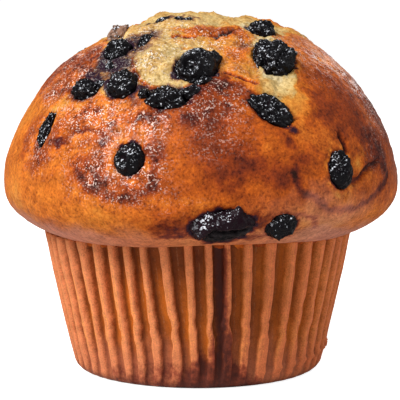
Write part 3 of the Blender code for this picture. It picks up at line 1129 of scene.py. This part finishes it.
def painted_glints(name):
    """Painted glints as bright specks on a sticky, bubbled glaze, and its bubbles' height."""
    group = shader_group(
        name,
        (("Vector", "Vector", None), ("Wet", "Float", 0.0),
         ("Size", "Float", 0.0004), ("Density", "Float", 0.5)),
        (("Speck", "Float"), ("Height", "Float")),
    )
    start, end = group_ends(group)
    scale = 1.0 / start["Size"]
    values = {"Vector": start["Vector"], "Scale": scale, "Detail": 1.0, "Roughness": 0.6}
    bubbles = place(group, "ShaderNodeTexNoise", values)
    clump = mottle(group, start["Vector"], 0.0032, 2.0)
    level = (clump - 0.5) * 0.25 + bubbles
    cut = 0.78 - start["Density"] * 0.3
    speck = span(group, level, cut, cut + 0.045)
    join(speck * start["Wet"], end["Speck"])
    join(bubbles, end["Height"])
    return group


EFFECTS = {
    "Baked Grain": baked_grain,
    "Juice Stain": juice_stain,
    "Painted Glints": painted_glints,
}


# ---------------------------------------------------------------- materials

BAKE_STOPS = (
    (0.00, (0.62, 0.50, 0.28)),
    (0.14, (0.58, 0.40, 0.155)),
    (0.28, (0.57, 0.25, 0.042)),
    (0.44, (0.60, 0.165, 0.018)),
    (0.58, (0.43, 0.085, 0.008)),
    (0.72, (0.25, 0.040, 0.007)),
    (0.88, (0.100, 0.016, 0.008)),
    (1.00, (0.030, 0.008, 0.005)),
)


def bumpy(tree, height, strength, depth):
    """A normal bent by a height; depth is in metres."""
    values = {"Strength": strength, "Distance": depth, "Height": height}
    return place(tree, "ShaderNodeBump", values, "Normal")


def shaded(tree, colour, tone, strength):
    """Lightens and darkens a colour by a tone that averages zero."""
    level = tone * strength + 1.0
    grey = place(tree, "ShaderNodeCombineXYZ", (level, level, level))
    return blend(tree, 1.0, colour, grey, "MULTIPLY")


def crust_material():
    """Baked crust: pale crumb to dark brown, juice stains, glaze with painted glints, steamed lip.
    """
    settings = bpy.context.scene.muffin_crust
    material, tree, shader, where = start_material("baked crust")
    grain = use_group(tree, "Baked Grain", Vector=where, Size=0.00060, Contrast=0.50)
    bake = attribute(tree, "bake") + grain["Tone"] * -0.3
    colour = colour_ramp(tree, bake, BAKE_STOPS)
    lip = attribute(tree, "lip") * 0.75
    colour = blend(tree, lip, colour, tuple(settings.lip_colour))
    wet = attribute(tree, "wet")
    colour = shaded(tree, colour, grain["Tone"], wet * 1.6 + 2.0)
    stained = use_group(
        tree, "Juice Stain", Color=colour, Stain=attribute(tree, "juice"),
        Juice=tuple(settings.juice_colour), Vector=where,
    )
    # Painted highlights: glints painted into the crust's colour where the glint mask is high.
    glints = use_group(
        tree, "Painted Glints", Vector=where, Wet=attribute(tree, "glint"), Size=0.00042,
        Density=0.70,
    )
    # The painted glints are pinkish on the glaze and near white on the pale crumb.
    colour = blend(
        tree, glints["Speck"] * 0.92, stained["Color"],
        blend(tree, attribute(tree, "crumbly"), (0.97, 0.72, 0.62, 1.0), (1.0, 0.96, 0.88, 1.0))
    )
    height = grain["Height"] + glints["Height"] * (wet * 1.2)
    feed(
        shader, Base_Color=colour,
        Roughness=span(tree, wet, 0.0, 1.0, 0.62, 0.34) - stained["Soaked"] * 0.12,
        Coat_Weight=wet * 0.16, Coat_Roughness=0.12, Specular_IOR_Level=0.09,
        Normal=bumpy(tree, height, 0.8, 0.00022),
    )
    return material


def berry_material():
    """Baked blueberry skin: blue-black, wet, with dusty bloom, a dull crown and painted glints."""
    settings = bpy.context.scene.muffin_berries
    material, tree, shader, where = start_material("blueberry skin")
    crown = attribute(tree, "crown")
    patches = mottle(tree, where, 0.0018, 4.0, 0.65)
    dust = span(tree, patches, 0.54, 0.75) * attribute(tree, "bloom")
    colour = blend(tree, dust, tuple(settings.skin_colour), tuple(settings.bloom_colour))
    plum = span(tree, mottle(tree, where, 0.0027, 3.0), 0.58, 0.75, 0.0, 0.6)
    plum = calc(tree, "MAXIMUM", plum, attribute(tree, "plum"))
    colour = blend(tree, plum, colour, (0.013, 0.0024, 0.006, 1.0))
    pulp = attribute(tree, "pulp")
    colour = blend(tree, pulp, colour, blend(
        tree, span(tree, patches, 0.4, 0.66), (0.006, 0.0045, 0.005, 1.0),
        (0.034, 0.027, 0.030, 1.0)))
    veil = attribute(tree, "veil") * 0.85
    colour = blend(tree, veil, colour, (0.36, 0.20, 0.13, 1.0))
    # Painted highlights: small glints where the glint mask is high, broad shine on the split
    # berry.
    glint = attribute(tree, "glint")
    specks = use_group(tree, "Painted Glints", Vector=where, Wet=glint, Size=0.0004, Density=0.62)
    painted_shine = attribute(tree, "painted_shine")
    shine = use_group(tree, "Painted Glints", Vector=where, Wet=painted_shine, Size=0.0009, Density=0.66)
    bright = calc(tree, "MAXIMUM", specks["Speck"], shine["Speck"])
    colour = blend(tree, bright * 0.85, colour, PAINTED_GLINT_COLOUR)
    dull = calc(tree, "MAXIMUM", crown, pulp) * 0.25
    height = specks["Height"] + mottle(tree, where, 0.0012, 3.0)
    feed(
        shader, Base_Color=colour, Roughness=dull + span(tree, patches, 0.35, 0.7, 0.22, 0.42),
        Specular_IOR_Level=0.10, Normal=bumpy(tree, height, 1.0, 0.00013),
    )
    return material


def paper_material():
    """Greaseproof paper: dry peach ridges, fat-soaked valleys, juice, scorch, painted light and
    shade.
    """
    settings = bpy.context.scene.muffin_case
    material, tree, shader, where = start_material("baking paper")
    ridge = attribute(tree, "ridge")
    after = attribute(tree, "after")
    painted_light = attribute(tree, "painted_light")
    foot = attribute(tree, "foot")
    grain = use_group(tree, "Baked Grain", Vector=where, Size=0.00034, Contrast=0.55)
    # Painted light and shade across each valley: shaded just right of a ridge, lit amber towards
    # the next.
    bright = span(tree, after, 0.20, 0.72)
    amber = (bright * 0.85 + 0.15) * painted_light
    colour = blend(tree, amber, tuple(settings.valley_colour), tuple(settings.amber_colour))
    # A faint painted highlight line down the middle of each valley.
    line = span(tree, after, 0.44, 0.48) * span(tree, after, 0.53, 0.49)
    line = line * span(tree, mottle(tree, where, 0.0008), 0.45, 0.65)
    colour = blend(tree, line * 0.3, colour, (0.4, 0.2, 0.1, 1.0))
    # The same painted light and shade across the valleys on the steamed foot.
    steamed = blend(tree, bright, (0.30, 0.085, 0.040, 1.0), (0.44, 0.135, 0.058, 1.0))
    colour = blend(tree, foot * 0.85, colour, steamed)
    dry = ridge + grain["Tone"] * 0.5
    top = blend(tree, foot * 0.6, tuple(settings.ridge_colour), (0.66, 0.215, 0.095, 1.0))
    # Painted shade: ridges on the right side of the case turn darker and redder.
    top = blend(tree, attribute(tree, "painted_shade"), top, (0.60, 0.160, 0.058, 1.0))
    # Painted highlight: a brighter orange edge on the lit side of each ridge.
    edge = span(tree, after, 1.0, 0.7) * span(tree, after, 0.45, 0.55)
    top = blend(tree, edge * painted_light, top, (0.88, 0.34, 0.07, 1.0))
    colour = blend(tree, span(tree, dry, 0.05, 0.95), colour, top)
    colour = shaded(tree, colour, grain["Tone"], 1.2)
    stained = use_group(
        tree, "Juice Stain", Color=colour, Stain=attribute(tree, "stain"),
        Juice=(0.075, 0.018, 0.012, 1.0), Vector=where,
    )
    feed(
        shader, Base_Color=stained["Color"], Roughness=span(tree, ridge, 0.0, 1.0, 0.55, 0.8),
        Specular_IOR_Level=0.15, Normal=bumpy(tree, grain["Height"], 0.5, 0.00012),
    )
    return material


def crumb_material():
    """Loose baked crumbs, from pale to brown."""
    material, tree, shader, where = start_material("loose crumb")
    grain = use_group(tree, "Baked Grain", Vector=where, Size=0.0004, Contrast=0.3)
    tone = attribute(tree, "tone") + grain["Tone"]
    colour = colour_ramp(tree, tone, BAKE_STOPS)
    feed(shader, Base_Color=colour, Roughness=0.7, Specular_IOR_Level=0.12)
    return material


def floor_material():
    """A pale floor that the camera sees as white."""
    settings = bpy.context.scene.muffin_stage
    material, tree, shader, where = start_material("pale floor")
    cloud = mottle(tree, where, 0.4, 2.0)
    colour = blend(tree, span(tree, cloud, 0.3, 0.7, 0.0, 0.03), tuple(settings.floor_colour),
                   (0.55, 0.55, 0.55, 1.0))
    seen = place(tree, "ShaderNodeLightPath", output="Is Camera Ray")
    feed(
        shader, Base_Color=colour, Roughness=0.9, Specular_IOR_Level=0.1,
        Emission_Color=(1.0, 1.0, 1.0, 1.0), Emission_Strength=seen * settings.floor_glow,
    )
    return material


# ---------------------------------------------------------------- geometry nodes


def geometry_tree(name, inputs, takes_mesh=False):
    """An empty Geometry Nodes tree with named inputs, its input sockets and its end."""
    old = bpy.data.node_groups.get(name)
    if old:
        bpy.data.node_groups.remove(old)
    tree = bpy.data.node_groups.new(name, "GeometryNodeTree")
    tree.interface.new_socket("Geometry", in_out="OUTPUT", socket_type="NodeSocketGeometry")
    if takes_mesh:
        tree.interface.new_socket("Geometry", in_out="INPUT", socket_type="NodeSocketGeometry")
    for label, kind in inputs:
        tree.interface.new_socket(label, in_out="INPUT", socket_type=f"NodeSocket{kind}")
    start, end = group_ends(tree)
    return tree, start, end


def finish_tree(tree, geometry, material, end):
    """Ends a tree in Realize Instances, smooth shading and Set Material."""
    real = place(tree, "GeometryNodeRealizeInstances", (geometry,))
    smooth = place(tree, "GeometryNodeSetShadeSmooth", {"Geometry": real, "Shade Smooth": True})
    done = place(tree, "GeometryNodeSetMaterial", {"Geometry": smooth, "Material": material})
    join(done, end["Geometry"])


def grow(name, tree, values, base=None):
    """Runs a tree once and returns the object with its result as a plain mesh."""
    obj = bpy.data.objects.new(name, base or bpy.data.meshes.new(name))
    bpy.context.scene.collection.objects.link(obj)
    modifier = obj.modifiers.new(name, "NODES")
    modifier.node_group = tree
    for item in tree.interface.items_tree:
        if item.item_type == "SOCKET" and item.in_out == "INPUT" and item.name in values:
            modifier[item.identifier] = values[item.name]
    depsgraph = bpy.context.evaluated_depsgraph_get()
    mesh = bpy.data.meshes.new_from_object(
        obj.evaluated_get(depsgraph), preserve_all_data_layers=True, depsgraph=depsgraph
    )
    obj.modifiers.clear()
    obj.data = mesh
    mesh.name = name
    return obj


def keep(tree, geometry, name, value):
    """Stores a value on the points under a name."""
    values = {"Geometry": geometry, "Name": name, "Value": value}
    return place(tree, "GeometryNodeStoreNamedAttribute", values, data_type="FLOAT",
                 domain="POINT")


def field_noise(tree, where, seed, size, detail=1.0):
    """Random values of -0.5 to 0.5 whose features are size across."""
    values = {"Vector": where, "W": seed, "Scale": 1.0 / size, "Detail": detail}
    found = place(tree, "ShaderNodeTexNoise", values, noise_dimensions="4D")
    return found - 0.5


def float_curve(tree, value, points, low, high):
    """A curve through given points over a value between low and high."""
    node = tree.nodes.new("ShaderNodeFloatCurve")
    curve = node.mapping.curves[0]
    while len(curve.points) < len(points):
        curve.points.new(0.5, 0.5)
    top = max(abs(y) for _, y in points)
    for point, (x, y) in zip(curve.points, points):
        point.location = ((x - low) / (high - low), 0.5 + 0.5 * y / top)
    node.mapping.update()
    join(value, node.inputs["Value"])
    centred = Wire(node.outputs["Value"]) - 0.5
    return centred * (2.0 * top)


def pleat_phase(tree, u, pleats):
    """Counts pleats round the case; the fraction is 0.5 on a ridge. u runs from the back."""
    drift = float_curve(tree, u, RIDGE_DRIFT, -180.0, 180.0)
    turn = u - drift * (1.0 / 360.0) - (0.5 + FIRST_RIDGE / 360.0)
    return turn * pleats + 0.5


def rim_lift(tree, azimuth):
    """The rim's extra height at an azimuth in degrees."""
    middle, spread, lift = FRONT_LIFT
    apart = (azimuth - middle) / spread
    fall = calc(tree, "EXPONENT", apart * apart * -1.0)
    return fall * (lift * MM)


def case_tree():
    """A pleated case: a sheet rolled into a cup whose wall swells at each ridge."""
    tree, start, end = geometry_tree("Pleated Case", (
        ("Pleats", "Int"), ("Columns per Pleat", "Int"), ("Rows", "Int"),
        ("Base Radius", "Float"), ("Corner Radius", "Float"), ("Corner Height", "Float"),
        ("Rim Radius", "Float"), ("Rim Height", "Float"), ("Pleat Depth", "Float"),
        ("Wander", "Float"), ("Kinks", "Float"), ("Crinkle", "Float"), ("Fold", "Float"),
        ("Seed", "Float"),
        ("Paper", "Material"),
    ))
    columns = start["Pleats"] * start["Columns per Pleat"]
    sheet = place(tree, "GeometryNodeMeshGrid", (1.0, 1.0, columns + 1.0, start["Rows"]))
    position = place(tree, "GeometryNodeInputPosition")
    across = place(tree, "ShaderNodeSeparateXYZ", (position,), 0)
    up = place(tree, "ShaderNodeSeparateXYZ", (position,), 1)
    u = across + 0.5
    v = up + 0.5
    angle = across * math.tau
    azimuth = across * 360.0
    sine, cosine = calc(tree, "SINE", angle), calc(tree, "COSINE", angle)

    disc = span(tree, v, 0.0, 0.08, smooth=False)
    bend = span(tree, v, 0.08, 0.20, 0.0, math.pi / 2, smooth=False)
    wall = span(tree, v, 0.20, 1.0, smooth=False)
    corner = start["Corner Radius"] - start["Base Radius"]
    lean = start["Rim Radius"] - start["Corner Radius"]
    radius = calc(tree, "SINE", bend) * corner + disc * start["Base Radius"]
    radius = wall * lean + radius
    curl = 1.0 - calc(tree, "COSINE", bend)
    tall = start["Rim Height"] - start["Corner Height"] + rim_lift(tree, azimuth)
    height = wall * tall + curl * start["Corner Height"]

    def random(seed, size, stretch, detail=1.0):
        where = place(
            tree, "ShaderNodeCombineXYZ", (sine * 30.0, cosine * 30.0, height * (1000.0 / stretch))
        )
        return field_noise(tree, where, start["Seed"] + seed, size, detail)

    loose = span(tree, v, 0.08, 0.30)
    front = span(tree, calc(tree, "ABSOLUTE", azimuth + 4.0), 8.0, 40.0, 1.0, 0.3)
    slant = (wall - 0.5) * front
    kinked = span(tree, wall, 0.1, 0.3) * span(tree, wall, 0.62, 0.36)
    stray = random(0.0, 9.0, 2.6) * start["Wander"]
    stray = random(5.0, 4.0, 1.0) * kinked * start["Kinks"] + stray
    stray = slant * 0.4 + stray
    phase = pleat_phase(tree, u, start["Pleats"]) + stray * loose
    phase = calc(tree, "FRACT", phase + 100.0)
    tent = 1.0 - calc(tree, "ABSOLUTE", phase * 2.0 - 1.0)
    tent = sine * sine * 0.03 + tent
    tent = random(9.0, 6.0, 2.0) * 0.3 + tent
    tent = tent + span(tree, wall, 0.40, 0.05, 0.0, 0.10)
    ridge = span(tree, tent, 0.50, 0.70)

    grown = span(tree, v, 0.07, 0.30, 0.0, 0.50)
    grown = grown + span(tree, v, 0.26, 0.8, 0.0, 0.5, smooth=False)
    deep = grown * (random(13.0, 7.0, 1.5) * 0.6 + 1.0)
    swell = (ridge - 0.5) * start["Pleat Depth"]
    radius = swell * deep + radius
    crumple = random(17.0, 2.6, 1.3, 2.0) * (loose * start["Crinkle"])
    radius = radius + crumple
    fold_height = azimuth * 0.00004 + 0.0022
    fold = calc(tree, "ABSOLUTE", height - fold_height)
    fold = span(tree, fold, 0.0009, 0.0) * start["Fold"]
    reach = calc(tree, "ABSOLUTE", azimuth - 60.0)
    radius = fold * span(tree, reach, 36.0, 24.0) + radius

    marked = keep(tree, sheet, "ridge", ridge * span(tree, v, 0.1, 0.24))
    # Where each point lies across its pleat, by which the paper paints its light and shade.
    marked = keep(tree, marked, "after", calc(tree, "FRACT", phase + 0.5))
    shaped = place(
        tree, "ShaderNodeCombineXYZ", (radius * sine, radius * (cosine * -1.0), height)
    )
    rolled = place(tree, "GeometryNodeSetPosition", {"Geometry": marked, "Position": shaped})
    closed = place(tree, "GeometryNodeMergeByDistance",
                   {"Geometry": rolled, "Distance": 0.000002})
    finish_tree(tree, closed, start["Paper"], end)
    return tree


def paper_marks(points, ridge):
    """Berry juice, painted light and shade, and steamed foot of the case, by point in mm."""
    azimuth = np.degrees(np.arctan2(points[:, 0], -points[:, 1]))
    height = points[:, 2]
    ragged = lumps(points * np.array((1.0, 1.0, 0.45)), 2.4, 3, 41)
    slow = lumps(points * np.array((1.0, 1.0, 0.6)), 8.0, 2, 42)
    middle = 9.6 - 0.10 * (height - 15.0) * (height > 8)
    drip = bell(azimuth, middle, 2.3) * rise(32, 31, height)
    spread = rise(10.5, 5.0, height + 2.2 * ragged + 0.016 * (azimuth - 7) ** 2)
    left = 0.40 * rise(10.0, 2.0, height + 2.0 * ragged + 0.006 * (azimuth + 16) ** 2)
    front = rise(75, 60, np.abs(azimuth))
    spikes = rise(-0.2, 0.2, ridge - (height - 3.0 + 1.2 * ragged) / 10.5) * bell(azimuth, 11, 7)
    stain = np.maximum.reduce((0.95 * drip, 0.72 * spread, 0.85 * spikes, left)) * front
    # Painted light: brightest on the left and at the back, fading towards the base and the rim.
    painted_light = 0.85 * bell(azimuth, -50, 26) + 0.35 * bell(azimuth, 30, 40) + 0.25
    painted_light += 0.5 * (np.abs(azimuth) > 100)
    painted_light = painted_light * rise(2, 12, height) * (1.0 - 0.45 * rise(20, 30, height)) * (1 + 0.5 * slow)
    foot = rise(13.0, 4.0, height + 2.5 * slow + 1.5 * ragged)
    # Painted shade on the right side of the case.
    painted_shade = rise(-25, 35, azimuth) * rise(160, 100, azimuth)
    return {
        "stain": np.clip(stain, 0, 1),
        "painted_light": np.clip(painted_light, 0, 1),
        "foot": foot,
        "painted_shade": painted_shade,
    }


def build_case():
    """The pleated case, as thin as paper."""
    settings = bpy.context.scene.muffin_case
    case = grow("paper_wall", case_tree(), {
        "Pleats": settings.pleats,
        "Columns per Pleat": PLEAT_COLUMNS,
        "Rows": CASE_ROWS,
        "Base Radius": settings.base_radius,
        "Corner Radius": settings.corner_radius,
        "Corner Height": settings.corner_height,
        "Rim Radius": settings.rim_radius,
        "Rim Height": settings.rim_height,
        "Pleat Depth": settings.pleat_depth,
        "Wander": 0.28,
        "Kinks": 0.55,
        "Crinkle": 0.00022,
        "Fold": 0.0006,
        "Seed": 3.0,
        "Paper": paper_material(),
    })
    points = np.array([v.co for v in case.data.vertices]) / MM
    ridge = np.empty(len(points), np.float32)
    case.data.attributes["ridge"].data.foreach_get("value", ridge)
    mark_mesh(case.data, paper_marks(points, ridge))
    shell = case.modifiers.new("paper thickness", "SOLIDIFY")
    shell.thickness = settings.paper
    shell.offset = -1.0
    return case


def scallop_tree():
    """Batter that filled the tops of the valleys: a flattened blob in each."""
    tree, start, end = geometry_tree("Rim Scallops", (
        ("Pleats", "Int"), ("Radius", "Float"), ("Height", "Float"), ("Drop Size", "Float"),
        ("Share", "Float"), ("Seed", "Int"), ("Batter", "Material"),
    ))
    row = place(tree, "GeometryNodeMeshLine", {"Count": start["Pleats"]})
    number = place(tree, "GeometryNodeInputIndex")
    turn = (number + 0.5) / start["Pleats"] + (FIRST_RIDGE / 360.0 - 0.5)
    drift = float_curve(tree, turn + 0.5, RIDGE_DRIFT, -180.0, 180.0)
    azimuth = turn * 360.0 + drift
    angle = azimuth * (math.pi / 180.0)
    height = start["Height"] + rim_lift(tree, azimuth)
    across = calc(tree, "SINE", angle) * start["Radius"]
    ahead = calc(tree, "COSINE", angle) * start["Radius"] * -1.0
    around = place(tree, "ShaderNodeCombineXYZ", (across, ahead, height))
    ring = place(tree, "GeometryNodeSetPosition", {"Geometry": row, "Position": around})
    chosen = place(tree, "FunctionNodeRandomValue",
                   {"Probability": start["Share"], "Seed": start["Seed"]}, 3,
                   data_type="BOOLEAN")
    drop = place(tree, "GeometryNodeMeshIcoSphere",
                 {"Radius": start["Drop Size"], "Subdivisions": 4})
    where = place(tree, "GeometryNodeInputPosition")
    facing = place(tree, "FunctionNodeAlignRotationToVector", {"Vector": place(
        tree, "ShaderNodeVectorMath", (where, (1.0, 1.0, 0.0)), operation="MULTIPLY")},
        axis="X")
    size = place(tree, "FunctionNodeRandomValue",
                 {"Min": (0.42, 0.95, 0.40), "Max": (0.52, 1.15, 0.75), "Seed": start["Seed"]},
                 data_type="FLOAT_VECTOR")
    drops = place(tree, "GeometryNodeInstanceOnPoints", {
        "Points": ring, "Selection": chosen, "Instance": drop, "Rotation": facing,
        "Scale": size})
    real = place(tree, "GeometryNodeRealizeInstances", (drops,))
    bumps = place(tree, "ShaderNodeTexNoise", {"Vector": where, "Scale": 900.0, "Detail": 2.0},
                  output="Color")
    offset = place(tree, "ShaderNodeVectorMath", (bumps, (0.5, 0.5, 0.5)), operation="SUBTRACT")
    offset = place(tree, "ShaderNodeVectorMath", {0: offset, 3: 0.0012}, operation="SCALE")
    rough = place(tree, "GeometryNodeSetPosition", {"Geometry": real, "Offset": offset})
    tone = field_noise(tree, where, 4.0, 0.005) + 0.66
    finish_tree(tree, keep(tree, rough, "tone", tone), start["Batter"], end)
    return tree


def crumb_tree():
    """Loose crumbs over the broken crown, thickest where the crust is crumbly."""
    tree, start, end = geometry_tree("Loose Crumbs", (
        ("Density", "Float"), ("Smallest", "Float"), ("Largest", "Float"), ("Seed", "Int"),
        ("Crumb", "Material"),
    ), takes_mesh=True)

    def mask(name):
        return place(tree, "GeometryNodeInputNamedAttribute", {"Name": name}, data_type="FLOAT")

    dry = 1.0 - mask("juice") * 0.7
    density = mask("crumbly") * dry * start["Density"]
    points = place(tree, "GeometryNodeDistributePointsOnFaces",
                   {"Mesh": start["Geometry"], "Density": density, "Seed": start["Seed"]},
                   distribute_method="RANDOM")
    base = place(tree, "FunctionNodeRandomValue", {2: -0.08, 3: 0.08, "Seed": start["Seed"]},
                 1, data_type="FLOAT")
    tone = mask("bake") + base
    marked = keep(tree, points, "tone", tone)
    crumb = place(tree, "GeometryNodeMeshIcoSphere", {"Radius": 1.0, "Subdivisions": 1})
    turn = place(tree, "FunctionNodeRandomValue",
                 {"Max": (math.tau, math.tau, math.tau), "Seed": 7}, data_type="FLOAT_VECTOR")
    size = place(tree, "FunctionNodeRandomValue",
                 {2: start["Smallest"], 3: start["Largest"], "Seed": 9}, 1, data_type="FLOAT")
    shape = place(tree, "FunctionNodeRandomValue",
                  {"Min": (0.6, 0.6, 0.5), "Max": (1.3, 1.3, 1.0), "Seed": 11},
                  data_type="FLOAT_VECTOR")
    scale = place(tree, "ShaderNodeVectorMath", {0: shape, 3: size}, operation="SCALE")
    grains = place(tree, "GeometryNodeInstanceOnPoints", {
        "Points": marked, "Instance": crumb, "Rotation": turn, "Scale": scale})
    finish_tree(tree, grains, start["Crumb"], end)
    return tree


# ---------------------------------------------------------------- stage


def add_area_light(name, location, target, size, power):
    """A round soft light aimed at a point."""
    data = bpy.data.lights.new(name, "AREA")
    data.shape = "DISK"
    data.size = size
    data.energy = power
    light = bpy.data.objects.new(name, data)
    light.location = location
    aim = Vector(target) - Vector(location)
    light.rotation_euler = aim.to_track_quat("-Z", "Y").to_euler()
    bpy.context.scene.collection.objects.link(light)


def build_world(brightness):
    """A white room: full white behind the muffin, softer as a light."""
    world = bpy.data.worlds.new("white room")
    world.use_nodes = True
    tree = world.node_tree
    path = place(tree, "ShaderNodeLightPath", output="Is Camera Ray")
    strength = span(tree, path, 0.0, 1.0, brightness, 1.0, smooth=False)
    back = tree.nodes["Background"]
    back.inputs["Color"].default_value = (1.0, 1.0, 1.0, 1.0)
    join(strength, back.inputs["Strength"])
    bpy.context.scene.world = world


def build_floor():
    """A wide pale floor."""
    bpy.ops.mesh.primitive_circle_add(vertices=128, radius=14.0, fill_type="NGON")
    floor = bpy.context.object
    floor.name = "floor"
    floor.data.materials.append(floor_material())


def build_camera(settings):
    """A long lens in front, a little above the cap's middle."""
    data = bpy.data.cameras.new("camera")
    data.lens = LENS
    data.sensor_width = SENSOR
    data.clip_start = 0.01
    data.clip_end = 100.0
    camera = bpy.data.objects.new("camera", data)
    camera.location = (AIM[0], -settings.camera_distance, settings.camera_height)
    aim = Vector(AIM) - camera.location
    camera.rotation_euler = aim.to_track_quat("-Z", "Y").to_euler()
    bpy.context.scene.collection.objects.link(camera)
    bpy.context.scene.camera = camera


# ---------------------------------------------------------------- operators


class MUFFIN_OT_crust(bpy.types.Operator):
    """Bake the crumb and its crust, with every patch, crack and berry seat"""

    bl_idname = "muffin.crust"
    bl_label = "Crust"

    def execute(self, context):
        crust = build_crust()
        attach(crust, "root")
        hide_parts("crumb")
        return {"FINISHED"}


class MUFFIN_OT_berries(bpy.types.Operator):
    """Set the blueberries in the crust"""

    bl_idname = "muffin.berries"
    bl_label = "Blueberries"

    def execute(self, context):
        material = berry_material()
        for number, seat in enumerate(berry_seats()):
            berry = build_berry(seat, number, material)
            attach(berry, "root")
            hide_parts(seat["node"])
        scraps = build_fragments(material)
        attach(scraps, "root")
        return {"FINISHED"}


class MUFFIN_OT_case(bpy.types.Operator):
    """Fold the pleated paper case"""

    bl_idname = "muffin.case"
    bl_label = "Paper Case"

    def execute(self, context):
        case = build_case()
        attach(case, "root")
        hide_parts("paper_case")
        return {"FINISHED"}


class MUFFIN_OT_scallops(bpy.types.Operator):
    """Let batter ooze over the rim between the pleats"""

    bl_idname = "muffin.scallops"
    bl_label = "Rim Scallops"

    def execute(self, context):
        drops = grow("rim_scallops", scallop_tree(), {
            "Pleats": context.scene.muffin_case.pleats,
            "Radius": 0.0325,
            "Height": 0.0307,
            "Drop Size": 0.0015,
            "Share": 0.9,
            "Seed": 5,
            "Batter": bpy.data.materials.get("loose crumb") or crumb_material(),
        })
        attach(drops, "root")
        return {"FINISHED"}


class MUFFIN_OT_crumbs(bpy.types.Operator):
    """Scatter loose crumbs over the broken crown"""

    bl_idname = "muffin.crumbs"
    bl_label = "Loose Crumbs"

    def execute(self, context):
        base = bpy.data.objects["crumb_crust"].data.copy()
        crumbs = grow("loose_crumbs", crumb_tree(), {
            "Density": 420000.0,
            "Smallest": 0.00008,
            "Largest": 0.00022,
            "Seed": 3,
            "Crumb": bpy.data.materials.get("loose crumb") or crumb_material(),
        }, base)
        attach(crumbs, "root")
        return {"FINISHED"}


class MUFFIN_OT_stage(bpy.types.Operator):
    """Set the pale floor, the soft lights and the camera"""

    bl_idname = "muffin.stage"
    bl_label = "Stage"

    def execute(self, context):
        settings = context.scene.muffin_stage
        build_floor()
        build_world(settings.surround)
        middle = (0.0, 0.0, 0.04)
        add_area_light("key", (-0.55, -0.55, 0.75), middle, 0.45, settings.key_power)
        add_area_light("fill", (0.80, -0.10, 0.45), middle, 0.8, settings.fill_power)
        add_area_light("rim", (0.34, 0.80, 0.34), middle, 0.20, settings.rim_power)
        build_camera(settings)
        context.scene.view_settings.view_transform = "Standard"
        return {"FINISHED"}


class MUFFIN_PT_panel(bpy.types.Panel):
    """The muffin's settings and the operators that build it"""

    bl_idname = "MUFFIN_PT_panel"
    bl_label = "Blueberry Muffin"
    bl_space_type = "VIEW_3D"
    bl_region_type = "UI"
    bl_category = "Muffin"

    def draw(self, context):
        for operator in OPERATORS:
            self.layout.operator(operator.bl_idname)
        for name, group in SETTINGS.items():
            box = self.layout.box()
            for prop in group.__annotations__:
                box.prop(getattr(context.scene, name), prop)


OPERATORS = (
    MUFFIN_OT_crust,
    MUFFIN_OT_berries,
    MUFFIN_OT_case,
    MUFFIN_OT_scallops,
    MUFFIN_OT_crumbs,
    MUFFIN_OT_stage,
)
SETTINGS = {
    "muffin_crust": CrustSettings,
    "muffin_case": CaseSettings,
    "muffin_berries": BerrySettings,
    "muffin_stage": StageSettings,
}


def register():
    """Registers the settings, the operators and the panel."""
    for name, group in SETTINGS.items():
        bpy.utils.register_class(group)
        setattr(bpy.types.Scene, name, bpy.props.PointerProperty(type=group))
    for made in (*OPERATORS, MUFFIN_PT_panel):
        bpy.utils.register_class(made)


def unregister():
    """Takes them away again."""
    for made in (MUFFIN_PT_panel, *reversed(OPERATORS)):
        bpy.utils.unregister_class(made)
    for name, group in SETTINGS.items():
        delattr(bpy.types.Scene, name)
        bpy.utils.unregister_class(group)


def main():
    """Builds the muffin and its stage."""
    register()
    bpy.ops.muffin.crust()
    bpy.ops.muffin.berries()
    bpy.ops.muffin.case()
    bpy.ops.muffin.scallops()
    bpy.ops.muffin.crumbs()
    bpy.ops.muffin.stage()


if __name__ == "__main__":
    main()
